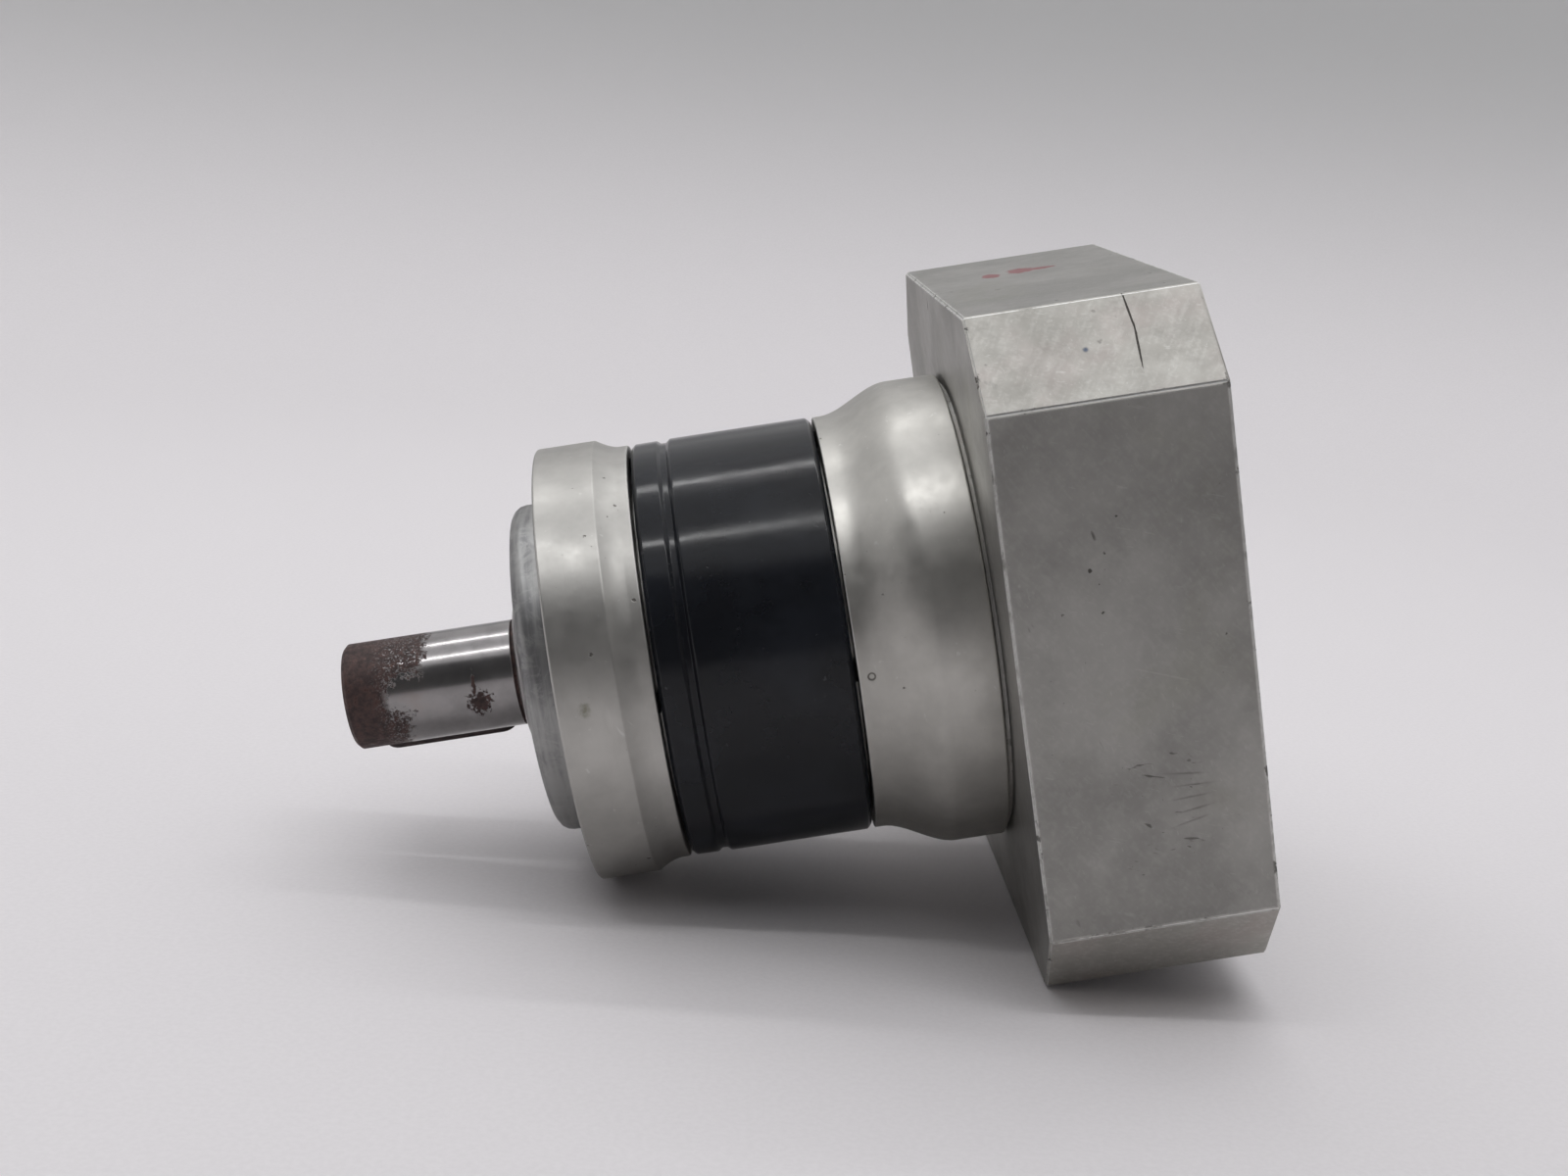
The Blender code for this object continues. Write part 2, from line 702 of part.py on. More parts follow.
# ------------------------------------------------------------------------------------------------
# output shaft, carrier and planets
# ------------------------------------------------------------------------------------------------
def key_shape(name, width, length, low_r, high_r):
    """A bar with round ends along X, standing on the shaft between two radii at KEY_ANGLE."""
    end_r = width / 2
    half = length / 2 - end_r
    steps = 6
    swing = [-pi / 2 + pi * k / steps for k in range(steps + 1)]
    right = [(half + end_r * cos(a), end_r * sin(a)) for a in swing]
    left = [(-u, -v) for u, v in right]
    bar = extruded(name, [right + left], high_r - low_r)
    middle_x = SHAFT_END_X + KEY["from_end"] + KEY["length"] / 2
    lift = Matrix.Translation((middle_x * MM, 0, (low_r + high_r) / 2 * MM))
    bar.matrix_world = turn_about_axis(KEY_ANGLE - pi / 2) @ lift
    return bar


def output_shaft(parent):
    """Keyed output shaft in one piece with the planet carrier's front disc."""
    disc = CARRIER_DISC_X
    outline = [
        (-32.0, 0),
        (-34.0, 3.4),
        (SHAFT_END_X + 1.2, 3.4),
        (SHAFT_END_X, 4.6),
        (SHAFT_END_X, SHAFT_R - 0.8),
        (SHAFT_END_X + 0.8, SHAFT_R),
        (SHOULDER_X - 1.0, SHAFT_R),
        (SHOULDER_X - 1.0, SHAFT_R - 0.5),
        (SHOULDER_X, SHAFT_R - 0.5),
        (SHOULDER_X, SHOULDER_R),
        (0.5, SHOULDER_R),
        (0.5, 14.2),
        (2.0, 14.2),
        (2.0, SHOULDER_R),
        (15.5, SHOULDER_R),
        (15.5, 18.0),
        (20.0, 18.0),
        (20.0, 20.0),
        (33.2, 20.0),
        (33.2, 23.5),
        (disc[0], 23.5),
        (disc[0], CARRIER_R),
        (disc[1], CARRIER_R),
        (disc[1], 0),
    ]
    shaft = turned("output_shaft", outline, MEDIUM, hollow=False)
    wide, floor = KEY["width"] + 2 * STILL_GAP, SHAFT_R - KEY["depth"]
    cut(shaft, key_shape("keyway", wide, KEY["length"] + 2 * STILL_GAP, floor, SHAFT_R + 5.0))
    pins = axial_holes(CENTRE_DISTANCE, planet_angles(), PIN_R + STILL_GAP, (PIN_X[0] - 0.3, disc[1] + 1.0))
    cut(shaft, rods("shaft_pins", pins, SMALL))
    finish(shaft, "ground_steel", parent)


def shaft_key(parent):
    floor = SHAFT_R - KEY["depth"]
    key = key_shape("shaft_key", KEY["width"], KEY["length"], floor + STILL_GAP, floor + KEY["height"])
    finish(key, "rusty_steel", parent)


def planet_angles():
    return [FIRST_PLANET_ANGLE + 2 * pi * k / PLANETS for k in range(PLANETS)]


def carrier_plate(parent):
    """Rear disc that holds the free ends of the planet pins."""
    plate = ring("carrier_plate", CARRIER_PLATE_X, (10.5, CARRIER_R), MEDIUM)
    reach = (CARRIER_PLATE_X[0] - 1, CARRIER_PLATE_X[1] + 1)
    pins = axial_holes(CENTRE_DISTANCE, planet_angles(), PIN_R + STILL_GAP, reach)
    cut(plate, rods("carrier_pins", pins, SMALL))
    finish(plate, "ground_steel", parent)


def planet_pins(parent):
    for number, angle in enumerate(planet_angles(), 1):
        pin = rods(f"planet_pin_{number}", axial_holes(CENTRE_DISTANCE, [angle], PIN_R, PIN_X), SMALL)
        finish(pin, "bearing_steel", parent)


def thrust_washers(parent):
    front = (CARRIER_DISC_X[1] + STILL_GAP, CARRIER_DISC_X[1] + STILL_GAP + WASHER_THICKNESS)
    rear = (CARRIER_PLATE_X[0] - STILL_GAP - WASHER_THICKNESS, CARRIER_PLATE_X[0] - STILL_GAP)
    for number, angle in enumerate(planet_angles(), 1):
        for side, x in (("front", front), ("rear", rear)):
            washer = ring(f"thrust_washer_{side}_{number}", x, (PIN_R + 0.3, 8.0), SMALL)
            washer.matrix_world = offset(CENTRE_DISTANCE, angle)
            finish(washer, "brass", parent)


def planet_gear(number, angle, parent):
    """One planet, in mesh at rest: spaces face the ring tooth and the sun tooth on the line of centres."""
    root_r, tip_r = gear_radii(PLANET_TEETH)
    phase = angle + pi / PLANET_TEETH
    outline = tooth_outline(PLANET_TEETH, root_r, tip_r, -TOOTH_THINNING, phase, 1)
    gear = extruded(f"planet_gear_{number}", [outline, circle_outline(5.8, SMALL)], PLANET_X[1] - PLANET_X[0])
    gear.matrix_world = offset(CENTRE_DISTANCE, angle, sum(PLANET_X) / 2) @ ACROSS_AXIS
    finish(gear, "ground_steel", parent)


def planet_needles(number, angle, parent):
    """Needle cage between the pin and the planet, with a round needle showing in each of its scallops."""
    needles = 12
    steps = 3 * needles
    outer = []
    for k in range(steps):
        radius = 5.0 if k % 3 == 0 else 5.45
        outer.append(polar(radius, 2 * pi * k / steps))
    width = PLANET_X[1] - PLANET_X[0] - 1.0
    cage = extruded(f"planet_needles_{number}", [outer, circle_outline(PIN_R + 0.25, SMALL)], width)
    cage.matrix_world = offset(CENTRE_DISTANCE, angle, sum(PLANET_X) / 2) @ ACROSS_AXIS
    finish(cage, "bearing_steel", parent)


# ------------------------------------------------------------------------------------------------
# input side
# ------------------------------------------------------------------------------------------------
def sun_shaft(parent):
    """Sun gear, input bearing seat and slotted clamping hub in one piece. A sun tooth faces each planet."""
    sun_x = (PLANET_X[0] - 0.3, PLANET_X[1] + 0.5)
    hub_start = 80.5
    outline = [
        (sun_x[1] - 1.0, 0),
        (sun_x[1] - 1.0, 6.0),
        (59.0, 6.0),
        (59.0, 10.0),
        (69.2, 10.0),
        (69.2, 12.5),
        (hub_start, 12.5),
        (hub_start, HUB_R),
        (HUB_END_X, HUB_R),
        (HUB_END_X, HUB_BORE_R),
        (84.0, HUB_BORE_R),
        (84.0, 0),
    ]
    shaft = turned("sun_shaft", outline, MEDIUM, hollow=False)
    root_r, tip_r = gear_radii(SUN_TEETH)
    outline = tooth_outline(SUN_TEETH, root_r, tip_r, -TOOTH_THINNING, FIRST_PLANET_ANGLE, 1)
    teeth = extruded("sun_teeth", [outline], sun_x[1] - sun_x[0])
    teeth.matrix_world = Matrix.Translation((sum(sun_x) / 2 * MM, 0, 0)) @ ACROSS_AXIS
    join(shaft, teeth)
    slit, slit_x = 0.75, (90.0, HUB_END_X + 1)
    cut(shaft, box("hub_slit_across", (slit_x[0], -slit, -HUB_R - 1), (slit_x[1], slit, HUB_R + 1)))
    cut(shaft, box("hub_slit_along", (slit_x[0], -HUB_R - 1, -slit), (slit_x[1], HUB_R + 1, slit)))
    finish(shaft, "ground_steel", parent)


def clamp_ring(parent):
    """Split collar round the hub. Its screw lies across the split, off the axis."""
    collar = ring("clamp_ring", CLAMP_X, (HUB_R + STILL_GAP, CLAMP_R), MEDIUM)
    middle = sum(CLAMP_X) / 2
    cut(collar, box("clamp_split", (CLAMP_X[0] - 1, -1.0, 5.0), (CLAMP_X[1] + 1, 1.0, CLAMP_R + 1)))
    thread_r, head_r = M5[0], M5[1]
    shank = ((middle, 0.0, CLAMP_OFFSET), (0, 1, 0), thread_r + SEAT_GAP, 26.0)
    head = ((middle, 4.0 + 10.0, CLAMP_OFFSET), (0, 1, 0), head_r + 0.5, 20.0)
    cut(collar, rods("clamp_shank", [shank], SCREW))
    cut(collar, rods("clamp_head", [head], SCREW))
    finish(collar, "ground_steel", parent)


def clamp_screw(parent):
    screw = socket_screw("clamp_screw", M5, 4.2, -12.0)
    screw.matrix_world = offset(CLAMP_OFFSET, pi / 2, sum(CLAMP_X) / 2) @ Matrix.Rotation(pi / 2, 4, "Z")
    finish(screw, "screw_steel", parent)


def motor_shaft_bushing(parent):
    """Slit sleeve that takes the clamp bore down to a 19 mm motor shaft."""
    sleeve = ring("motor_shaft_bushing", (85.0, HUB_END_X - 0.5), (9.5, HUB_BORE_R - STILL_GAP), MEDIUM)
    cut(sleeve, box("bushing_slit", (80.0, -0.75, 1.0), (HUB_END_X + 1, 0.75, HUB_BORE_R + 1)))
    finish(sleeve, "ground_steel", parent)


# ------------------------------------------------------------------------------------------------
# assembly
# ------------------------------------------------------------------------------------------------
def build_housing(housing):
    output_flange(housing)
    ring_gear(housing)
    rear_housing(housing)
    adapter_plate(housing)
    access_plug(housing)
    lip_seal("shaft_seal", -6.4, 7.0, SHOULDER_R, 23.4, housing)
    lip_seal("input_seal", 71.6, 7.0, 12.5, 18.35, housing)
    o_ring("front_o_ring", 23.2, 35.05, 0.7, housing)
    o_ring("rear_o_ring", 54.95, 35.1, 0.65, housing)
    circlip("carrier_bearing_circlip", (33.4, 35.3), (29.2, 32.4), MEDIUM, pi / 2, housing)
    circlip("input_bearing_circlip", (69.5, 70.8), (17.0, 19.5), MEDIUM, pi / 2, housing)
    screw_set("tie_screw", M4, TIE_SCREW, QUARTERS, housing)
    screw_set("adapter_screw", M5, ADAPTER_SCREW, DIAGONALS, housing)


def build_output(output):
    output_shaft(output)
    shaft_key(output)
    carrier_plate(output)
    planet_pins(output)
    thrust_washers(output)
    circlip("shaft_circlip", (0.6, 1.9), (14.35, 17.0), MEDIUM, 0.0, output)


def build_input(power_input):
    sun_shaft(power_input)
    clamp_ring(power_input)
    clamp_screw(power_input)
    motor_shaft_bushing(power_input)


def build():
    gearbox = body("gearbox")
    housing = body("housing", gearbox)
    output = body("output", gearbox)
    power_input = body("input", gearbox)
    build_housing(housing)
    build_output(output)
    build_input(power_input)
    roller_bearing("front_bearing", FRONT_BEARING, housing, output, body("front_rollers", gearbox))
    roller_bearing("carrier_bearing", CARRIER_BEARING, housing, output, body("carrier_rollers", gearbox))
    ball_bearing("input_bearing", INPUT_BEARING, housing, power_input, body("input_balls", gearbox))
    for number, angle in enumerate(planet_angles(), 1):
        y, z = polar(CENTRE_DISTANCE, angle)
        planet_gear(number, angle, body(f"planet_{number}", gearbox, y, z))
        planet_needles(number, angle, body(f"needles_{number}", gearbox, y, z))
    gearbox.location.x = -(SHAFT_END_X + PLATE_X[1]) / 2 * MM


build()
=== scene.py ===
"""The planetary gearbox's look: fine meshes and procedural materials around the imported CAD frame.

Lengths along the gearbox axis are stations, in millimetres from the output flange's mounting face towards the
motor. Radii are in millimetres too, and MM turns both into Blender's metres.
"""

import json
from math import acos, cos, pi, radians, sin, tan

import bmesh
import bpy
from mathutils import Matrix, Vector


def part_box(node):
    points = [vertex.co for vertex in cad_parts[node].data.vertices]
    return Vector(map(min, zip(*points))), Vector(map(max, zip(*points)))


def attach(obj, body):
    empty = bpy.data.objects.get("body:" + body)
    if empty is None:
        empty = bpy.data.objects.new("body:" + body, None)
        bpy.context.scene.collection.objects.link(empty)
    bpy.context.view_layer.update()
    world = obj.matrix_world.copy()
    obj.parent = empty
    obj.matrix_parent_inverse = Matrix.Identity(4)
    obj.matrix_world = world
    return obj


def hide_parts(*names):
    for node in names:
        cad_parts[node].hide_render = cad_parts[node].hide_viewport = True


MM = 0.001
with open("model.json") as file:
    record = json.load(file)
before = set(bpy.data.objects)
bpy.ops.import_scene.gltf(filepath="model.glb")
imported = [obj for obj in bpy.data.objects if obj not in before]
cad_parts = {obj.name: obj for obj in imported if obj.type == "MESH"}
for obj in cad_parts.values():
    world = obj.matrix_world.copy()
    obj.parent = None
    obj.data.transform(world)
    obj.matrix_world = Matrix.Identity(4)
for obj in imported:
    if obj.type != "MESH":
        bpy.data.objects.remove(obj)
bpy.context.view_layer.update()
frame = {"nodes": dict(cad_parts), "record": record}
MOUNTS = {mount["name"]: Vector(mount["pos_m"]) for mount in frame["record"]["mounts"]}
FACE_X = MOUNTS["output_mounting_face"].x
QUARTERS = [k * pi / 2 for k in range(4)]
DIAGONALS = [pi / 4 + k * pi / 2 for k in range(4)]


def span(node):
    """(first station, last station, radius) of a CAD node that is round about the gearbox axis."""
    low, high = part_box(node)
    return (low.x - FACE_X) / MM, (high.x - FACE_X) / MM, high.y / MM


def middle(node):
    """A CAD node's middle as (station, y, z)."""
    low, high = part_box(node)
    centre = (low + high) / 2
    return (centre.x - FACE_X) / MM, centre.y / MM, centre.z / MM


def polar(radius, angle):
    """(y, z) at this radius, with the angle turning from +Y to +Z."""
    return radius * cos(angle), radius * sin(angle)


def at(station, y, z):
    """A point of the frame, in metres, from a station and two distances in millimetres."""
    return Vector((FACE_X + station * MM, y * MM, z * MM))


# ---- sizes read from the frame ----
SHAFT_END, CARRIER_END, CARRIER_R = span("output_shaft")
PILOT_X, SPIGOT_END, FRAME_R = span("output_flange")
RING_START, RING_END, RING_R = span("ring_gear")
BELL_SPIGOT_X, BELL_END, BELL_R = span("rear_housing")
PLATE_SEAT_X, MOTOR_X, PLATE_HALF = span("adapter_plate")
SEAL_START, SEAL_END, SEAL_R = span("shaft_seal")
HUB_END = span("sun_shaft")[1]
CLAMP_START, CLAMP_END, CLAMP_R = span("clamp_ring")
BUSH_START, BUSH_END, BUSH_R = span("motor_shaft_bushing")

# ---- sizes of the fine shapes ----
SHAFT_R = 11.0
SHOULDER_R = 15.0
SHOULDER_X = -10.0
PILOT_R = 34.0
NECK_R = 43.0
FLANGE_LAND_END = 12.0
FLANGE_TAPER_END = 17.0
FLANGE_END = 18.7
SPIGOT_R = 35.7
SPIGOT_BORE_R = 36.0
BELL_START = 57.0
PLATE_X = 84.0
PLATE_CORNER = 15.7
PLATE_BORE_R = 28.0
PLATE_EDGE = 0.4
MOTOR_PILOT_R = 55.0
MOTOR_PILOT_DEPTH = 7.0
TIE_R = 39.0
ADAPTER_R = 42.5
ADAPTER_SEAT = 109.0
MOTOR_HOLE_R = 72.5
FLANGE_HOLE_R = 40.0
HUB_R = 16.0
HUB_BORE_R = 12.0
ACCESS_R = 6.0
KEY_ANGLE = radians(-65.0)
KEY_WIDTH = 6.0
KEY_X = (-42.0, -14.0)
KEY_R = (7.5, 13.5)
MODULE = 1.35
PRESSURE_ANGLE = radians(20.0)
SUN_TEETH = 12
RING_TEETH = 48
TOOTH_THINNING = 0.16
PINS_R = 20.25
M4 = {"thread_r": 2.0, "head_r": 3.5, "head": 4.0, "socket_r": 1.75, "pitch": 0.7}
M5 = {"thread_r": 2.5, "head_r": 4.25, "head": 5.0, "socket_r": 2.3, "pitch": 0.8}
CAMERA_ROLL = -8.6
FINE = 192
ROUND = 48


# ------------------------------------------------------------------------------------------------
# node trees
# ------------------------------------------------------------------------------------------------
class Look:
    """A material's node tree. Its methods add a node each and return the socket that carries the result."""

    def __init__(self, name):
        self.material = bpy.data.materials.new(name)
        self.material.use_nodes = True
        self.tree = self.material.node_tree
        self.shader = self.tree.nodes["Principled BSDF"]
        self.place = self.node("ShaderNodeTexCoord").outputs["Object"]

    def node(self, kind, inputs=None, **settings):
        made = self.tree.nodes.new(kind)
        for key, value in settings.items():
            setattr(made, key, value)
        for key, value in (inputs or {}).items():
            self.feed(made.inputs[key], value)
        return made

    def feed(self, socket, value):
        if isinstance(value, bpy.types.NodeSocket):
            self.tree.links.new(value, socket)
        elif socket.type == "RGBA":
            socket.default_value = (*value, 1.0)
        else:
            socket.default_value = value

    def math(self, operation, a, b=0.0, c=0.0):
        return self.node("ShaderNodeMath", {0: a, 1: b, 2: c}, operation=operation).outputs[0]

    def times(self, a, b):
        return self.math("MULTIPLY", a, b)

    def plus(self, a, b):
        return self.math("ADD", a, b)

    def either(self, a, b):
        return self.math("MAXIMUM", a, b)

    def flip(self, a):
        return self.math("SUBTRACT", 1.0, a)

    def stretched(self, scale, turn=(0.0, 0.0, 0.0), shift=(0.0, 0.0, 0.0)):
        """Object coordinates turned, then scaled, in units of 1 / scale metres."""
        inputs = {
            "Vector": self.place,
            "Location": shift,
            "Rotation": turn,
            "Scale": [1.0 / side for side in scale],
        }
        return self.node("ShaderNodeMapping", inputs, vector_type="TEXTURE").outputs[0]

    def axes(self):
        """The station in metres, y and z as separate sockets."""
        parts = self.node("ShaderNodeSeparateXYZ", {0: self.place}).outputs
        return self.plus(parts[0], -FACE_X), parts[1], parts[2]

    def radius(self):
        _, y, z = self.axes()
        return self.math("SQRT", self.plus(self.times(y, y), self.times(z, z)))

    def noise(self, vector, scale=1.0, detail=4.0, roughness=0.5, distortion=0.0):
        inputs = {
            "Vector": vector,
            "Scale": scale,
            "Detail": detail,
            "Roughness": roughness,
            "Distortion": distortion,
        }
        return self.node("ShaderNodeTexNoise", inputs).outputs["Fac"]

    def lathe_marks(self, pitch, along=6.0, detail=3.0):
        """Fine rings round the gearbox axis, on its cylinders and on its flat faces alike."""
        x, y, z = self.axes()
        radius = self.radius()
        across = self.node("ShaderNodeCombineXYZ", {0: self.math("DIVIDE", x, pitch)})
        for index, side in ((1, y), (2, z)):
            self.feed(across.inputs[index], self.times(self.math("DIVIDE", side, radius), along))
        inputs = {
            "Vector": across.outputs[0],
            "W": self.math("DIVIDE", radius, pitch),
            "Scale": 1.0,
            "Detail": detail,
        }
        return self.node("ShaderNodeTexNoise", inputs, noise_dimensions="4D").outputs["Fac"]

    def band(self, value, low, high):
        """0 below low, 1 above high, smooth between."""
        inputs = {"Value": value, "From Min": low, "From Max": high}
        ranged = self.node("ShaderNodeMapRange", inputs, interpolation_type="SMOOTHSTEP")
        return ranged.outputs["Result"]

    def blend(self, share, a, b):
        """A number between a and b."""
        return self.node("ShaderNodeMix", {0: share, 2: a, 3: b}, data_type="FLOAT").outputs[0]

    def paint(self, share, a, b, mode="MIX"):
        """A colour between a and b."""
        inputs = {0: share, 6: a, 7: b}
        mixed = self.node("ShaderNodeMix", inputs, data_type="RGBA", blend_type=mode)
        return mixed.outputs[2]

    def bump(self, height, depth, normal=None):
        """A bump of this depth in millimetres."""
        inputs = {"Height": height, "Distance": depth * MM, "Strength": 1.0}
        if normal:
            inputs["Normal"] = normal
        return self.node("ShaderNodeBump", inputs).outputs[0]

    def edges(self, width):
        """1 on edges sharper than the bevel of this width in millimetres."""
        rounded = self.node("ShaderNodeBevel", {"Radius": width * MM}, samples=4).outputs[0]
        plain = self.node("ShaderNodeNewGeometry").outputs["Normal"]
        dot = self.node("ShaderNodeVectorMath", {0: rounded, 1: plain}, operation="DOT_PRODUCT")
        return self.band(dot.outputs["Value"], 0.998, 0.94)

    def mark(self, centre, size, turn=(0.0, 0.0, 0.0), ragged=0.3, grain=500.0, core=0.8):
        """1 inside an ellipsoid round a (station, y, z), with these half sizes in millimetres. Its edge is
        ragged, and fades from the core's share of its size to the full size."""
        inputs = {
            "Vector": self.place,
            "Location": at(*centre),
            "Rotation": turn,
            "Scale": [side * MM for side in size],
        }
        local = self.node("ShaderNodeMapping", inputs, vector_type="TEXTURE").outputs[0]
        away = self.node("ShaderNodeVectorMath", {0: local}, operation="LENGTH").outputs["Value"]
        uneven = self.plus(self.noise(self.stretched((grain,) * 3), 1.0, 4.0, 0.65), -0.5)
        return self.band(self.plus(away, self.times(uneven, 2.0 * ragged)), 1.0, core)

    def specks(self, scale, share, seed=0.0):
        """Small uneven spots in some of the cells of a Voronoi pattern, with this share of cells filled."""
        inputs = {"Vector": self.stretched((scale,) * 3, shift=(seed, seed, seed)), "Scale": 1.0}
        cells = self.node("ShaderNodeTexVoronoi", inputs)
        chosen = self.node("ShaderNodeSeparateColor", {0: cells.outputs["Color"]}).outputs[0]
        size = self.times(self.band(chosen, 1.0 - share, 1.0), 0.28)
        uneven = self.times(self.plus(self.noise(self.stretched((scale * 4.0,) * 3)), -0.5), 0.5)
        away = self.plus(cells.outputs["Distance"], uneven)
        return self.band(self.math("SUBTRACT", away, size), 0.02, -0.05)

    def scratches(self, scale, turn, share=0.5, seed=0.0, curl=0.0):
        """Thin short strokes that run one way. A larger share leaves more of them."""
        long = self.stretched((scale * 0.045, scale, scale), turn, (seed, seed, seed))
        strokes = self.noise(long, 1.0, 2.0, 0.5, curl)
        gaps = self.noise(self.stretched((scale * 0.16,) * 3, shift=(seed, 0.0, seed)), 1.0, 2.0)
        strokes = self.band(strokes, 0.67, 0.72)
        return self.times(strokes, self.band(gaps, 0.66 - 0.3 * share, 0.74 - 0.3 * share))

    def set(self, **inputs):
        """Feeds the Principled shader's inputs, named as in base_color or specular_ior_level."""
        for key, value in inputs.items():
            name = key.replace("_", " ").title().replace("Ior", "IOR")
            self.feed(self.shader.inputs[name], value)
        return self.material


# ------------------------------------------------------------------------------------------------
# mesh making
# ------------------------------------------------------------------------------------------------
def new_piece(name, shape):
    """An object from a bmesh, with all its faces turned outwards."""
    bmesh.ops.recalc_face_normals(shape, faces=shape.faces)
    mesh = bpy.data.meshes.new(name)
    shape.to_mesh(mesh)
    shape.free()
    piece = bpy.data.objects.new(name, mesh)
    bpy.context.scene.collection.objects.link(piece)
    return piece


def eased(corners, arc_steps=4):
    """Points of a closed outline from (station, radius, ease) corners, where ease rounds the corner off."""
    points = []
    for index, (x, r, ease) in enumerate(corners):
        here = Vector((x, r))
        back = Vector(corners[index - 1][:2]) - here
        on = Vector(corners[(index + 1) % len(corners)][:2]) - here
        if not ease:
            points.append((x, r))
            continue
        half = back.angle(on) / 2
        reach = min(ease / tan(half), back.length / 2, on.length / 2)
        radius = reach * tan(half)
        centre = here + (back.normalized() + on.normalized()).normalized() * (radius / sin(half))
        first = here + back.normalized() * reach - centre
        last = here + on.normalized() * reach - centre
        for step in range(arc_steps + 1):
            spoke = first.slerp(last, step / arc_steps).normalized()
            points.append(tuple(centre + spoke * radius))
    return points


def turned(name, points, steps=FINE, centre=(0.0, 0.0), first_angle=0.0):
    """A closed solid of revolution about the line along X through centre, a (y, z) in millimetres."""
    shape = bmesh.new()
    angles = [first_angle + 2 * pi * k / steps for k in range(steps)]
    rings = []
    for x, r in points:
        if r < 1e-6:
            rings.append([shape.verts.new(at(x, *centre))] * steps)
            continue
        spots = [polar(r, angle) for angle in angles]
        rings.append([shape.verts.new(at(x, centre[0] + y, centre[1] + z)) for y, z in spots])
    for here, there in zip(rings, rings[1:] + rings[:1]):
        for k in range(steps):
            corners = [here[k - 1], here[k], there[k], there[k - 1]]
            distinct = list(dict.fromkeys(corners))
            if len(distinct) > 2:
                shape.faces.new(distinct)
    return new_piece(name, shape)


def prism(name, outline, stations, ease=0.0):
    """A (y, z) outline extruded along X between two stations, with its edges rounded by ease."""
    shape = bmesh.new()
    face = shape.faces.new([shape.verts.new(at(stations[0], y, z)) for y, z in outline])
    pushed = bmesh.ops.extrude_face_region(shape, geom=[face])["geom"]
    moved = [part for part in pushed if isinstance(part, bmesh.types.BMVert)]
    bmesh.ops.translate(shape, verts=moved, vec=((stations[1] - stations[0]) * MM, 0, 0))
    if ease:
        bmesh.ops.bevel(shape, geom=shape.edges[:], offset=ease * MM, segments=3, affect="EDGES")
    return new_piece(name, shape)


def block(name, low, high):
    """A box between two (station, y, z) corners, for cutting slits."""
    outline = [(low[1], low[2]), (high[1], low[2]), (high[1], high[2]), (low[1], high[2])]
    return prism(name, outline, (low[0], high[0]))


def about_y(piece, station, z):
    """Lays a piece turned about the gearbox axis along Y instead, through this station and height."""
    turn = Matrix.Rotation(pi / 2, 4, "Z")
    piece.data.transform(Matrix.Translation(at(station, 0, z)) @ turn @ Matrix.Translation(-at(0, 0, 0)))
    return piece


def carve(piece, tools, operation="DIFFERENCE"):
    """Cuts the tools out of a piece, or joins them to it, and removes the tools."""
    for tool in tools:
        step = piece.modifiers.new(operation.title(), "BOOLEAN")
        step.operation = operation
        step.object = tool
    graph = bpy.context.evaluated_depsgraph_get()
    made = bpy.data.meshes.new_from_object(piece.evaluated_get(graph))
    piece.modifiers.clear()
    piece.data = made
    for tool in tools:
        bpy.data.objects.remove(tool)
    return piece


def merged(name, pieces):
    """One cutter from several that don't touch."""
    shape = bmesh.new()
    for piece in pieces:
        shape.from_mesh(piece.data)
        bpy.data.objects.remove(piece)
    return new_piece(name, shape)


def holes(name, pitch_r, angles, points, steps=ROUND):
    """One cutter for equal holes of this outline on a circle about the axis."""
    return merged(name, [turned(name, points, steps, polar(pitch_r, angle)) for angle in angles])


def thread(stations, root_r, crest_r, pitch):
    """The outline of a thread's crests and roots from one station to the other."""
    start, end = stations
    count = int(abs(end - start) / pitch)
    step = (end - start) / count
    points = []
    for k in range(count):
        points += [(start + step * (k + 0.2), root_r), (start + step * (k + 0.7), crest_r)]
    return points


def smooth(piece, angle=35.0):
    """Smooth shading up to this many degrees, with the flat faces kept flat."""
    piece.data.shade_smooth()
    piece.data.set_sharp_from_angle(angle=radians(angle))
    flat = piece.modifiers.new("flat_faces", "WEIGHTED_NORMAL")
    flat.keep_sharp = True


def place(piece, body, material, slot, *nodes):
    """Finishes a piece: its shading, its material and the body that it rides, and hides the CAD nodes it stands
    for.
    """
    piece.data.materials.clear()
    piece.data.materials.append(material)
    smooth(piece)
    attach(piece, body)
    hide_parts(*nodes)


# ------------------------------------------------------------------------------------------------
# gear teeth
# ------------------------------------------------------------------------------------------------
def involute(angle):
    return tan(angle) - angle


def tooth_outline(teeth, low_r, high_r, thickening, phase, flank_steps=6):
    """The closed outline of a gear with involute flanks, with the middle of one tooth at the phase angle."""
    pitch_r = MODULE * teeth / 2
    base_r = pitch_r * cos(PRESSURE_ANGLE)
    half_on_pitch = pi / (2 * teeth) + thickening / (2 * pitch_r)

    def half_width(radius):
        flank = acos(min(1.0, base_r / radius))
        return half_on_pitch + involute(PRESSURE_ANGLE) - involute(flank)

    rising = [low_r + (high_r - low_r) * step / flank_steps for step in range(flank_steps + 1)]
    points = []
    for tooth in range(teeth):
        middle_angle = phase + 2 * pi * tooth / teeth
        points += [polar(radius, middle_angle - half_width(radius)) for radius in rising]
        points += [polar(radius, middle_angle + half_width(radius)) for radius in reversed(rising)]
    return points


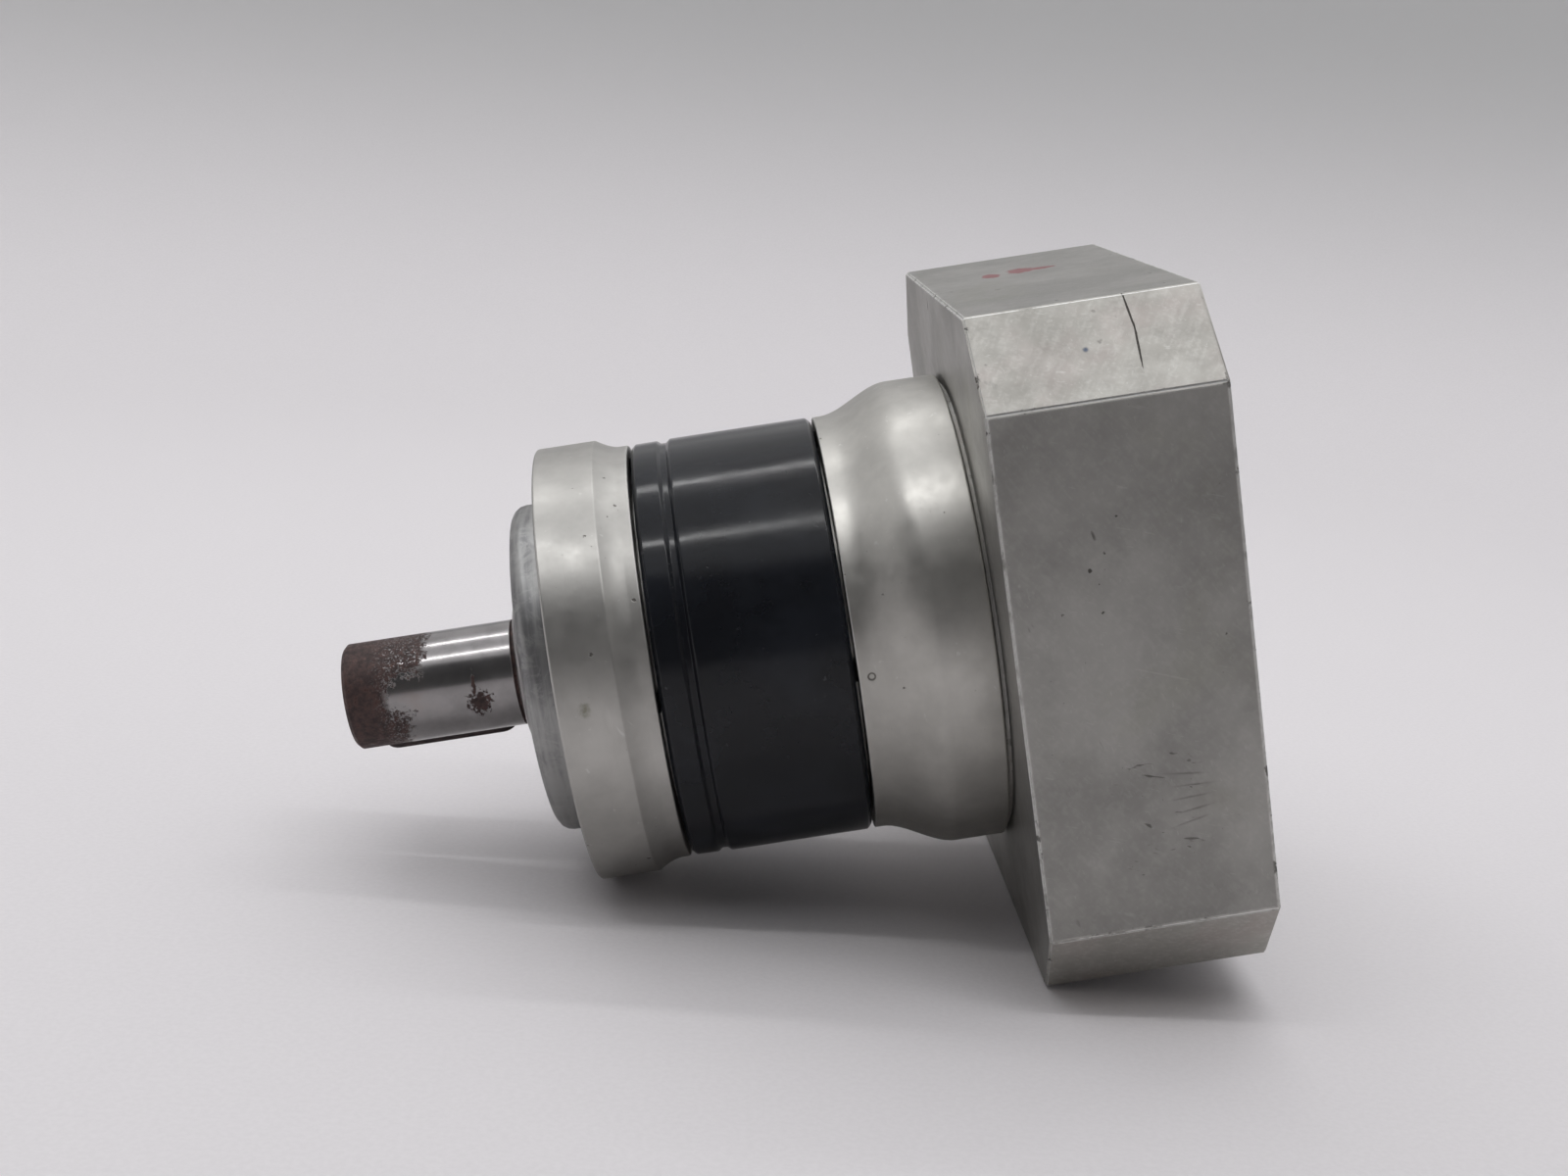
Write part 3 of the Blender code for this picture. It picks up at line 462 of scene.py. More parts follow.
# ------------------------------------------------------------------------------------------------
# pieces
# ------------------------------------------------------------------------------------------------
def output_flange():
    """Front casting: boss, mounting face with four threaded holes, and the taper down to the black ring."""
    taper = []
    for step in range(1, 12):
        left = 1 - step / 12
        taper.append((FLANGE_LAND_END + (FLANGE_TAPER_END - FLANGE_LAND_END) * (1 - left),
                      NECK_R + (FRAME_R - NECK_R) * left**1.7, 0))
    corners = [
        (PILOT_X, 23.6, 0.4),
        (PILOT_X, PILOT_R, 2.8),
        (0, PILOT_R, 0.35),
        (0, FRAME_R, 0.55),
        (FLANGE_LAND_END, FRAME_R, 0.8),
        *taper,
        (FLANGE_END, NECK_R, 0.35),
        (FLANGE_END, SPIGOT_R, 0),
        (22.0, SPIGOT_R, 0.2),
        (22.0, 34.2, 0.2),
        (24.4, 34.2, 0.2),
        (24.4, SPIGOT_R, 0.2),
        (SPIGOT_END, SPIGOT_R, 0.4),
        (SPIGOT_END, 31.0, 0.3),
        (35.5, 31.0, 0),
        (35.5, 32.6, 0),
        (33.2, 32.6, 0),
        (33.2, 31.0, 0),
        (18.0, 31.0, 0.4),
        (18.0, 27.5, 0.3),
        (2.0, 27.5, 0.4),
        (2.0, 23.6, 0.3),
    ]
    flange = turned("output_flange_fine", eased(corners))
    depth, core_r, crest_r = 14.0, 2.5, 2.95
    tapped = [(-1.0, 0), (-1.0, 3.6), (0.0, 3.1)]
    tapped += thread((0.3, depth - 1.0), crest_r, core_r, 1.0)
    tapped += [(depth - 0.8, core_r), (depth, core_r), (depth + 1.3, 0)]
    tie_hole = [(7.0, 0), (7.0, 2.2), (SPIGOT_END + 3, 2.2), (SPIGOT_END + 3, 0)]
    carve(flange, [holes("flange_threads", FLANGE_HOLE_R, DIAGONALS, tapped, 32)])
    carve(flange, [holes("flange_ties", TIE_R, QUARTERS, tie_hole, 32)])
    return flange


def ring_gear():
    """The black ring: a turned sleeve with a groove near the flange and the fixed teeth inside."""
    root_r = MODULE * RING_TEETH / 2 + 1.05 * MODULE
    tip_r = MODULE * RING_TEETH / 2 - 0.8 * MODULE
    corners = [
        (RING_START, SPIGOT_BORE_R, 0.3),
        (RING_START, 42.2, 0.3),
        (RING_START + 0.8, 42.95, 0.5),
        (24.6, 43.0, 0.5),
        (25.4, 42.35, 0.4),
        (26.5, 42.35, 0.4),
        (27.3, 43.1, 0.6),
        (RING_END - 0.9, 43.1, 0.5),
        (RING_END, 42.2, 0.3),
        (RING_END, SPIGOT_BORE_R, 0.3),
        (52.5, SPIGOT_BORE_R, 0.3),
        (52.5, tip_r - 1.0, 0),
        (38.5, tip_r - 1.0, 0),
        (38.5, SPIGOT_BORE_R, 0.3),
    ]
    ring = turned("ring_gear_fine", eased(corners, 5))
    gap_phase = pi / 2 + pi / RING_TEETH
    space = tooth_outline(RING_TEETH, tip_r, root_r, 0.0, gap_phase)
    tie_hole = [(18.0, 0), (18.0, 2.2), (58.0, 2.2), (58.0, 0)]
    carve(ring, [prism("ring_space", space, (37.0, 54.0))])
    carve(ring, [holes("ring_ties", TIE_R, QUARTERS, tie_hole, 32)])
    return ring


def rear_housing():
    """Rear casting: it swells in a smooth curve from the black ring to the motor plate."""
    swell_x = (58.5, 73.0)
    swell = []
    for step in range(1, 24):
        t = step / 24
        rise = t * t * (3 - 2 * t)
        swell.append((swell_x[0] + (swell_x[1] - swell_x[0]) * t, NECK_R + (BELL_R - NECK_R) * rise, 0))
    corners = [
        (BELL_START, SPIGOT_R, 0),
        (BELL_START, NECK_R, 0.35),
        (swell_x[0], NECK_R, 0),
        *swell,
        (swell_x[1], BELL_R, 0),
        (BELL_END, BELL_R, 0.5),
        (BELL_END, 34.0, 0.5),
        (68.0, 34.0, 0.5),
        (68.0, 24.0, 0.5),
        (79.0, 24.0, 0.4),
        (79.0, 18.5, 0.4),
        (70.9, 18.5, 0),
        (70.9, 19.7, 0),
        (69.4, 19.7, 0),
        (69.4, 18.5, 0),
        (59.8, 18.5, 0.3),
        (59.8, 15.5, 0.3),
        (57.5, 15.5, 0.3),
        (57.5, 29.5, 0.4),
        (BELL_SPIGOT_X, 29.5, 0.3),
        (BELL_SPIGOT_X, SPIGOT_R, 0.3),
        (54.0, SPIGOT_R, 0.2),
        (54.0, 34.3, 0.2),
        (55.9, 34.3, 0.2),
        (55.9, SPIGOT_R, 0.2),
    ]
    bell = turned("rear_housing_fine", eased(corners))
    tie_hole = [(50.0, 0), (50.0, 2.2), (67.0, 2.2), (67.0, 4.0), (85.0, 4.0), (85.0, 0)]
    core_r, crest_r = 2.3, 2.65
    tapped = [(85.0, 0), (85.0, 3.4), (83.0, 3.0)]
    tapped += thread((82.6, 68.5), crest_r, core_r, 0.8)
    tapped += [(68.3, core_r), (67.5, core_r), (66.5, 0)]
    carve(bell, [holes("bell_ties", TIE_R, QUARTERS, tie_hole, 32)])
    carve(bell, [holes("bell_threads", ADAPTER_R, DIAGONALS, tapped, 32)])
    return bell


def plate_outline(half, corner):
    """A square with its four corners cut off."""
    flat = half - corner
    outline = []
    for quarter in QUARTERS:
        for u, v in ((half, flat), (flat, half)):
            outline.append((u * cos(quarter) - v * sin(quarter), u * sin(quarter) + v * cos(quarter)))
    return outline


def adapter_plate():
    """Square plate for the motor: a pilot recess, four threaded corner holes and four sunk screws."""
    plate = prism("adapter_plate_fine", plate_outline(PLATE_HALF, PLATE_CORNER), (PLATE_X, MOTOR_X), PLATE_EDGE)
    seat = [
        (PLATE_SEAT_X, 25.0, 0.3),
        (PLATE_SEAT_X, 33.7, 0.4),
        (83.15, 33.7, 0.2),
        (83.15, 46.0, 0.3),
        (PLATE_X + 4, 46.0, 0),
        (PLATE_X + 4, 25.0, 0),
    ]
    carve(plate, [turned("plate_seat", eased(seat))], "UNION")
    pilot_x = MOTOR_X - MOTOR_PILOT_DEPTH
    bore = [
        (75.0, 0, 0),
        (75.0, 25.0, 0),
        (PLATE_X, 25.0, 0),
        (PLATE_X, PLATE_BORE_R, 0.3),
        (pilot_x - 0.8, PLATE_BORE_R, 0),
        (pilot_x, PLATE_BORE_R + 0.8, 0),
        (pilot_x, MOTOR_PILOT_R, 0.5),
        (MOTOR_X - 0.7, MOTOR_PILOT_R, 0),
        (MOTOR_X + 1.3, MOTOR_PILOT_R + 2.0, 0),
        (MOTOR_X + 1.3, 0, 0),
    ]
    carve(plate, [turned("plate_bore", eased(bore))])
    shank = [(80.0, 0), (80.0, 2.75), (ADAPTER_SEAT, 2.75), (ADAPTER_SEAT, 5.0)]
    shank += [(pilot_x - 0.4, 5.0), (pilot_x + 0.4, 5.8), (pilot_x + 0.4, 0)]
    core_r, crest_r = 3.4, 3.9
    bottom_x = MOTOR_X - 25.0
    tapped = [(MOTOR_X + 1, 0), (MOTOR_X + 1, 5.4), (MOTOR_X - 0.8, 3.9)]
    tapped += thread((MOTOR_X - 1.2, bottom_x + 4.0), crest_r, core_r, 1.25)
    tapped += [(bottom_x + 3.8, core_r), (bottom_x + 1.9, core_r), (bottom_x, 0)]
    carve(plate, [holes("plate_screws", ADAPTER_R, DIAGONALS, shank)])
    carve(plate, [holes("plate_threads", MOTOR_HOLE_R, DIAGONALS, tapped)])
    access = [(-10.0, 0), (-10.0, ACCESS_R), (-PLATE_HALF + 0.7, ACCESS_R)]
    access += [(-PLATE_HALF - 0.3, ACCESS_R + 1.0), (-PLATE_HALF - 0.3, 0)]
    screw_x, _, screw_z = middle("clamp_screw")
    hole = turned("access_hole", [(-x, r) for x, r in access], ROUND)
    carve(plate, [about_y(hole, screw_x, screw_z)])
    return plate


def hexagon(name, stations, across, ease=0.0, phase=0.0):
    """A hexagonal prism along X, sized by the radius of its corners."""
    return prism(name, [polar(across, phase + k * pi / 3) for k in range(6)], stations, ease)


def access_plug():
    """Plug with a hexagon socket that closes the way to the clamp screw."""
    screw_x, _, screw_z = middle("clamp_screw")
    low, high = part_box("access_plug")
    inner, outer = low.y / MM, high.y / MM
    body = [(inner, 0, 0), (inner, 5.85, 0.5), (outer - 0.5, 5.85, 0), (outer, 5.3, 0), (outer, 0, 0)]
    plug = turned("access_plug_fine", eased(body), ROUND)
    carve(plug, [hexagon("plug_socket", (outer - 3.4, outer + 1), 2.95)])
    return about_y(plug, screw_x, screw_z)


def output_shaft():
    """Keyed output shaft in one piece with the planet carrier's front disc."""
    corners = [
        (-32.0, 0, 0),
        (-34.0, 3.4, 0),
        (SHAFT_END + 1.2, 3.4, 0.2),
        (SHAFT_END, 4.6, 0.1),
        (SHAFT_END, SHAFT_R - 0.8, 0.2),
        (SHAFT_END + 0.8, SHAFT_R, 0.3),
        (SHOULDER_X - 1.0, SHAFT_R, 0.12),
        (SHOULDER_X - 1.0, SHAFT_R - 0.5, 0.15),
        (SHOULDER_X, SHAFT_R - 0.5, 0.15),
        (SHOULDER_X, SHOULDER_R, 1.6),
        (0.5, SHOULDER_R, 0.1),
        (0.5, 14.2, 0.1),
        (2.0, 14.2, 0.1),
        (2.0, SHOULDER_R, 0.1),
        (15.5, SHOULDER_R, 0.4),
        (15.5, 18.0, 0.4),
        (20.0, 18.0, 0.4),
        (20.0, 20.0, 0.4),
        (33.2, 20.0, 0.4),
        (33.2, 23.5, 0.3),
        (34.2, 23.5, 0.3),
        (34.2, CARRIER_R, 0.5),
        (CARRIER_END, CARRIER_R, 0.5),
        (CARRIER_END, 0, 0),
    ]
    shaft = turned("output_shaft_fine", eased(corners))
    keyway = key_bar("keyway", KEY_WIDTH + 0.3, (KEY_X[0] - 0.15, KEY_X[1] + 0.15), (KEY_R[0], SHAFT_R + 5))
    pin_hole = [(34.5, 0), (34.5, 4.15), (CARRIER_END + 1, 4.15), (CARRIER_END + 1, 0)]
    thirds = [pi / 2 + 2 * pi * k / 3 for k in range(3)]
    carve(shaft, [keyway])
    carve(shaft, [holes("pin_holes", PINS_R, thirds, pin_hole)])
    return shaft


def key_bar(name, width, stations, radii, ease=0.0):
    """A round-ended bar along X that stands on the shaft at KEY_ANGLE, between two radii."""
    end_r = width / 2
    steps = 12
    swing = [pi / 2 + pi * k / steps for k in range(steps + 1)]
    outline = [(stations[0] + end_r + end_r * cos(a), end_r * sin(a)) for a in swing]
    outline += [(stations[1] - end_r - end_r * cos(a), -end_r * sin(a)) for a in swing]
    shape = bmesh.new()
    face = shape.faces.new([shape.verts.new(at(x, side, radii[0])) for x, side in outline])
    pushed = bmesh.ops.extrude_face_region(shape, geom=[face])["geom"]
    moved = [part for part in pushed if isinstance(part, bmesh.types.BMVert)]
    bmesh.ops.translate(shape, verts=moved, vec=(0, 0, (radii[1] - radii[0]) * MM))
    if ease:
        flat_edges = [e for e in shape.edges if abs(e.verts[0].co.z - e.verts[1].co.z) < MM * 0.01]
        bmesh.ops.bevel(shape, geom=flat_edges, offset=ease * MM, segments=2, affect="EDGES")
    bar = new_piece(name, shape)
    bar.data.transform(Matrix.Rotation(KEY_ANGLE - pi / 2, 4, "X"))
    return bar


def shaft_key():
    return key_bar("shaft_key_fine", KEY_WIDTH, KEY_X, (KEY_R[0] + 0.15, KEY_R[1]), 0.35)


def lip_seal(name, start, end, shaft_r, outer_r):
    """A shaft seal: a rubber-covered case, a lip that leans on the shaft and a garter spring's groove."""
    width = end - start
    corners = [
        (start, outer_r, 0.3),
        (start, shaft_r + 2.6, 0.3),
        (start + 0.5, shaft_r + 1.4, 0.2),
        (start + 0.3 * width, shaft_r + 0.35, 0.15),
        (start + 0.6 * width, shaft_r + 1.6, 0.2),
        (start + 0.6 * width, outer_r - 1.6, 0.2),
        (end, outer_r - 1.6, 0.2),
        (end, outer_r, 0.3),
    ]
    return turned(name, eased(corners))


def sun_shaft():
    """Sun gear, input bearing seat and the slit hub that grips the motor shaft."""
    sun_x, hub_x = (40.0, 52.2), 80.5
    corners = [
        (sun_x[1] - 1.0, 0, 0),
        (sun_x[1] - 1.0, 6.0, 0),
        (59.0, 6.0, 0.4),
        (59.0, 10.0, 0.4),
        (69.2, 10.0, 0.3),
        (69.2, 12.5, 0.4),
        (hub_x, 12.5, 0.4),
        (hub_x, HUB_R, 0.6),
        (HUB_END, HUB_R, 0.8),
        (HUB_END, HUB_BORE_R, 0.6),
        (84.0, HUB_BORE_R, 0.4),
        (84.0, 0, 0),
    ]
    shaft = turned("sun_shaft_fine", eased(corners))
    pitch_r = MODULE * SUN_TEETH / 2
    radii = pitch_r - 1.05 * MODULE, pitch_r + 0.8 * MODULE
    outline = tooth_outline(SUN_TEETH, *radii, -TOOTH_THINNING, pi / 2)
    carve(shaft, [prism("sun_teeth", outline, sun_x, 0.08)], "UNION")
    slit, far = 0.75, HUB_R + 1
    across = block("slit_across", (90.0, -slit, -far), (HUB_END + 1, slit, far))
    along = block("slit_along", (90.0, -far, -slit), (HUB_END + 1, far, slit))
    carve(shaft, [across, along])
    return shaft


def clamp_ring():
    """Split collar round the hub, drawn tight by one screw that lies across the split."""
    corners = [
        (CLAMP_START, HUB_R + 0.15, 0.4),
        (CLAMP_START, CLAMP_R, 0.7),
        (CLAMP_END, CLAMP_R, 0.7),
        (CLAMP_END, HUB_R + 0.15, 0.4),
    ]
    collar = turned("clamp_ring_fine", eased(corners))
    screw_x, _, screw_z = middle("clamp_screw")
    split = block("clamp_split", (CLAMP_START - 1, -1.0, 5.0), (CLAMP_END + 1, 1.0, CLAMP_R + 1))
    shank = turned("clamp_shank", [(-13.0, 0), (-13.0, 2.7), (13.0, 2.7), (13.0, 0)], ROUND)
    head = turned("clamp_head", [(4.0, 0), (4.0, 4.75), (24.0, 4.75), (24.0, 0)], ROUND)
    carve(collar, [split])
    carve(collar, [about_y(shank, screw_x, screw_z)])
    carve(collar, [about_y(head, screw_x, screw_z)])
    return collar


def motor_shaft_bushing():
    """Slit sleeve between the hub's bore and the motor shaft."""
    corners = [
        (BUSH_START, 9.5, 0.4),
        (BUSH_START, BUSH_R, 0.4),
        (BUSH_END, BUSH_R, 0.4),
        (BUSH_END, 9.5, 0.6),
    ]
    sleeve = turned("motor_shaft_bushing_fine", eased(corners))
    slit = block("bushing_slit", (BUSH_START - 5, -0.75, 1.0), (BUSH_END + 5, 0.75, BUSH_R + 1))
    return carve(sleeve, [slit])


def socket_screw(name, size, seat, tip, centre=(0.0, 0.0), phase=0.0):
    """A socket head screw along X with its head beyond the seat, threads on its shank and a hexagon socket."""
    top = seat + size["head"]
    root_r = size["thread_r"] - 0.35
    turns = thread((tip + 0.8, seat - 1.0), size["thread_r"], root_r, size["pitch"])
    points = [(tip, 0), (tip, root_r - 0.3), *turns, (seat - 0.8, size["thread_r"])]
    points += [(seat, size["thread_r"]), (seat, size["head_r"] - 0.2), (seat + 0.2, size["head_r"])]
    points += eased([(seat + 0.3, size["head_r"], 0), (top, size["head_r"], 0.7), (top, 0, 0)])[1:]
    screw = turned(name, points, 36, centre)
    sunk = top - size["head"] / 2
    mouth = [(top - 0.35, 0), (top - 0.35, size["socket_r"] * 0.88)]
    mouth += [(top + 0.2, size["socket_r"] * 1.12), (top + 0.2, 0)]
    corners = [polar(size["socket_r"], phase + k * pi / 3) for k in range(6)]
    outline = [(centre[0] + y, centre[1] + z) for y, z in corners]
    carve(screw, [prism("socket", outline, (sunk, top + 1))])
    return carve(screw, [turned("socket_mouth", mouth, 36, centre)])


# ------------------------------------------------------------------------------------------------
# materials
# ------------------------------------------------------------------------------------------------
def worn_metal(look, tint, rough, marks, edge_width=0.35):
    """(colour, roughness) of handled metal: clouded, uneven, with faint tool marks and bright edges, partly from
    wear and partly a painted highlight.
    """
    clouds = look.band(look.noise(look.stretched((38.0,) * 3), 1.0, 5.0, 0.62), 0.3, 0.7)
    fine = look.noise(look.stretched((260.0,) * 3), 1.0, 3.0, 0.6)
    dark = [channel * 0.82 for channel in tint]
    pale = [min(channel * 1.12, 1.0) for channel in tint]
    colour = look.paint(clouds, dark, pale)
    colour = look.paint(look.times(look.band(fine, 0.35, 0.7), 0.25), colour, pale)
    colour = look.paint(look.times(marks, 0.12), colour, dark)
    # Bright edges: partly wear, partly a painted highlight where the edges catch the light.
    edge_wear_and_highlight = look.times(look.edges(edge_width), look.band(fine, 0.25, 0.55))
    colour = look.paint(look.times(edge_wear_and_highlight, 0.9), colour, (0.93, 0.93, 0.91))
    roughness = look.plus(look.blend(clouds, rough + 0.06, rough - 0.06), look.times(edge_wear_and_highlight, 0.1))
    return colour, look.plus(roughness, look.times(look.plus(fine, -0.5), 0.2))


def turned_aluminium(name, tint, rough, nicks):
    """The start of a satin aluminium off a lathe: rings, soft clouds, dark nicks and a few fine scratches."""
    look = Look(name)
    rings = look.lathe_marks(0.00028)
    colour, roughness = worn_metal(look, tint, rough, rings)
    dark = look.specks(650.0, 0.02 * nicks, 3.0)
    hairs = look.scratches(900.0, (0.3, 0.9, 0.4), 0.3, 2.0)
    hairs = look.either(hairs, look.scratches(750.0, (1.3, 0.2, 1.1), 0.3, 7.0))
    colour = look.paint(look.times(dark, 0.75), colour, (0.09, 0.08, 0.07))
    colour = look.paint(look.times(hairs, 0.35), colour, (0.82, 0.82, 0.8))
    normal = look.bump(rings, 0.0035)
    normal = look.bump(look.lathe_marks(0.0016, 3.0, 2.0), 0.008, normal)
    normal = look.bump(look.noise(look.stretched((160.0,) * 3), 1.0, 3.0, 0.55), 0.035, normal)
    normal = look.bump(look.flip(dark), 0.05, normal)
    return look, colour, roughness, normal


def flange_aluminium():
    """Pale satin outside, with a darker tarnished boss, black marks on it and a small green-brown stain."""
    look, colour, roughness, normal = turned_aluminium("flange_aluminium", (0.55, 0.54, 0.515), 0.42, 1.6)
    station = look.axes()[0]
    boss = look.band(station, 0.0004, -0.0002)
    grime = look.plus(look.noise(look.stretched((60.0,) * 3), 1.0, 4.0, 0.6), look.lathe_marks(0.0012, 2.0))
    tarnish = look.paint(look.band(grime, 0.75, 1.2), (0.25, 0.25, 0.255), (0.44, 0.44, 0.435))
    blotches = look.band(look.noise(look.stretched((200.0,) * 3), 1.0, 6.0, 0.75, 0.8), 0.48, 0.62)
    tarnish = look.paint(look.times(blotches, 0.5), tarnish, (0.50, 0.50, 0.49))
    colour = look.paint(boss, colour, tarnish)
    spots = look.noise(look.stretched((170.0,) * 3, shift=(4.0, 1.0, 2.0)), 1.0, 4.0)
    black = look.times(look.times(boss, look.band(spots, 0.64, 0.70)), look.band(station, -0.0035, -0.0015))
    colour = look.paint(look.times(black, 0.9), colour, (0.03, 0.028, 0.026))
    stain = look.mark((5.5, -44.9, 2.5), (1.5, 2.0, 2.0), ragged=0.9, grain=900.0, core=-0.3)
    colour = look.paint(look.times(stain, 0.75), colour, (0.14, 0.135, 0.06))
    dent = look.mark((9.3, -44.9, 0.0), (1.1, 2.5, 2.9), ragged=0.1, core=0.0)
    normal = look.bump(look.flip(dent), 0.09, normal)
    roughness = look.plus(roughness, look.times(boss, 0.04))
    return look.set(base_color=colour, metallic=1.0, roughness=roughness, normal=normal)


def bell_aluminium():
    """The rear housing: smoother satin with faint clouds and one small round mark."""
    look, colour, roughness, normal = turned_aluminium("bell_aluminium", (0.60, 0.588, 0.555), 0.39, 0.8)
    spot = (59.5, -43.2, 0.0)
    rim = look.math("SUBTRACT", look.mark(spot, (0.9, 2.0, 0.9), ragged=0.1), look.mark(spot, (0.55, 2.0, 0.55)))
    colour = look.paint(look.times(rim, 0.8), colour, (0.12, 0.11, 0.1))
    normal = look.bump(look.flip(rim), 0.08, normal)
    return look.set(base_color=colour, metallic=1.0, roughness=roughness, normal=normal)


def plate_rims(look):
    """1 on the rounded edges round the plate's outside, and 0 on its faces and in its holes."""
    normal = look.node("ShaderNodeNewGeometry").outputs["True Normal"]
    sides = [look.math("ABSOLUTE", side) for side in look.node("ShaderNodeSeparateXYZ", {0: normal}).outputs]
    facing = look.either(sides[0], look.either(sides[1], sides[2]))
    tilted = look.times(look.band(facing, 0.715, 0.735), look.band(facing, 0.9995, 0.998))
    _, y, z = look.axes()
    y, z = look.math("ABSOLUTE", y), look.math("ABSOLUTE", z)
    flats = look.band(look.either(y, z), (PLATE_HALF - 0.9) * MM, (PLATE_HALF - 0.7) * MM)
    reach = 2 * PLATE_HALF - PLATE_CORNER
    corners = look.band(look.plus(y, z), (reach - 1.2) * MM, (reach - 0.9) * MM)
    return look.times(tilted, look.either(flats, corners))


def plate_hairlines(look):
    """Fine scratches that cross each other in four directions."""
    hairs = 0.0
    for k in range(4):
        turn = (0.5 * k, 0.35 + 0.8 * k, 1.1 * k)
        hairs = look.either(hairs, look.scratches(1500.0 + 250.0 * k, turn, 0.5, 3.0 * k))
    return hairs


def plate_wisps(look):
    """Faint dark wisps, one below another, where something has rubbed along the plate's side."""
    wisps = 0.0
    for k in range(5):
        centre = (112.2 + 1.3 * (k % 2), -65.0, -20.4 - 2.3 * k)
        wisp = look.mark(centre, (5.2, 1.0, 0.36), (0.0, 0.12 - 0.085 * k, 0.0), 0.4, 300.0, -0.5)
        wisps = look.either(wisps, wisp)
    return wisps


def plate_aluminium():
    """Milled faces, stained and nicked, with bright scratched corners, scuffs, three small paint marks and rims
    painted bright, partly wear and partly a painted highlight.
    """
    look = Look("plate_aluminium")
    grain = look.noise(look.stretched((90.0, 1400.0, 1400.0)), 1.0, 3.0, 0.6)
    colour, roughness = worn_metal(look, (0.40, 0.393, 0.375), 0.46, grain, 0.6)
    facing = look.node("ShaderNodeNewGeometry").outputs["True Normal"]
    facing = look.node("ShaderNodeSeparateXYZ", {0: facing}).outputs
    sloping = look.times(look.math("ABSOLUTE", facing[1]), look.math("ABSOLUTE", facing[2]))
    corner = look.band(sloping, 0.3, 0.45)
    stains = look.noise(look.stretched((34.0,) * 3, shift=(1.0, 5.0, 2.0)), 1.0, 5.0, 0.7, 0.6)
    colour = look.paint(look.times(look.band(stains, 0.50, 0.72), 0.28), colour, (0.33, 0.33, 0.27))
    rubbed = look.noise(look.stretched((150.0,) * 3), 1.0, 6.0, 0.7)
    polish = look.paint(look.band(rubbed, 0.25, 0.75), (0.50, 0.485, 0.45), (0.57, 0.56, 0.525))
    colour = look.paint(look.times(corner, 0.85), colour, polish)
    tinted = look.band(look.noise(look.stretched((65.0,) * 3, shift=(0.0, 3.0, 8.0)), 1.0, 4.0, 0.6), 0.45, 0.7)
    colour = look.paint(look.times(look.times(tinted, corner), 0.5), colour, (0.56, 0.50, 0.48))
    swirls = look.noise(look.stretched((55.0, 1100.0, 1100.0), (0.5, 0.9, 0.4)), 1.0, 3.0, 0.6, 0.8)
    swirls = look.times(look.plus(swirls, look.noise(look.stretched((50.0, 900.0, 900.0), (0.2, -0.5, 1.0)))), 0.5)
    rubs = look.times(look.band(swirls, 0.45, 0.65), look.blend(corner, 0.1, 0.3))
    colour = look.paint(rubs, colour, (0.74, 0.73, 0.70))
    smudge = look.mark((117.5, -65.0, -26.0), (8.0, 3.0, 8.0), ragged=0.9, grain=160.0, core=-0.5)
    colour = look.paint(look.times(smudge, 0.4), colour, (0.28, 0.27, 0.23))
    hairs = plate_hairlines(look)
    colour = look.paint(look.times(hairs, look.blend(corner, 0.12, 0.3)), colour, (0.80, 0.80, 0.78))
    # Rounded rims painted near white where rubbed: partly wear, partly a painted highlight.
    rim_wear_and_highlight = look.times(plate_rims(look), look.band(rubbed, 0.36, 0.5))
    colour = look.paint(look.times(rim_wear_and_highlight, 0.9), colour, (0.92, 0.92, 0.90))
    nicks = look.specks(700.0, 0.010, 5.0)
    dark = look.either(nicks, look.scratches(420.0, (0.2, 1.2, 0.7), 0.1, 11.0))
    dark = look.times(dark, look.flip(look.times(corner, 0.75)))
    chipped = look.band(look.noise(look.stretched((260.0,) * 3, shift=(6.0, 2.0, 0.0)), 1.0, 5.0, 0.7), 0.60, 0.64)
    dark = look.either(dark, look.times(look.edges(0.7), chipped))
    arcs = look.scratches(520.0, (0.9, 0.2, 0.3), 1.0, 4.0, 1.5)
    scuffs = look.times(arcs, look.mark((108.0, -65.0, -28.0), (12.0, 3.0, 13.0), ragged=0.5, grain=120.0))
    dark = look.either(dark, look.times(scuffs, 0.6))
    dark = look.either(dark, look.times(plate_wisps(look), 0.55))
    slash = look.either(
        look.mark((113.2, -52.4, 62.0), (0.21, 5.6, 5.6), (0, 0, radians(5.0)), 0.2),
        look.mark((113.2, -57.6, 56.8), (0.21, 5.6, 5.6), (0, 0, radians(-5.0)), 0.2),
    )
    dark = look.either(dark, look.times(slash, corner))
    colour = look.paint(look.times(dark, 0.8), colour, (0.09, 0.085, 0.075))
    blue = look.mark((104.0, -57.0, 57.0), (0.75, 0.75, 0.75), core=0.2)
    red = look.mark((98.2, 13.5, 65.0), (2.0, 4.6, 1.0), ragged=0.5)
    red = look.either(red, look.mark((105.0, 15.8, 65.0), (2.9, 5.4, 1.0), ragged=0.7))
    red = look.either(red, look.mark((109.0, 15.0, 65.0), (3.4, 2.3, 1.0), ragged=0.7))
    colour = look.paint(look.times(blue, 0.8), colour, (0.10, 0.16, 0.27))
    colour = look.paint(look.times(red, 0.85), colour, (0.27, 0.09, 0.10))
    painted = look.either(blue, red)
    roughness = look.plus(roughness, look.times(look.either(painted, dark), 0.25))
    roughness = look.plus(roughness, look.times(corner, 0.14))
    normal = look.bump(grain, 0.004)
    normal = look.bump(look.noise(look.stretched((120.0,) * 3), 1.0, 4.0), 0.03, normal)
    normal = look.bump(look.times(look.plus(swirls, look.flip(hairs)), 0.5), 0.012, normal)
    normal = look.bump(look.flip(dark), 0.08, normal)
    metal = look.flip(look.times(painted, 0.8))
    return look.set(base_color=colour, metallic=metal, roughness=roughness, normal=normal)


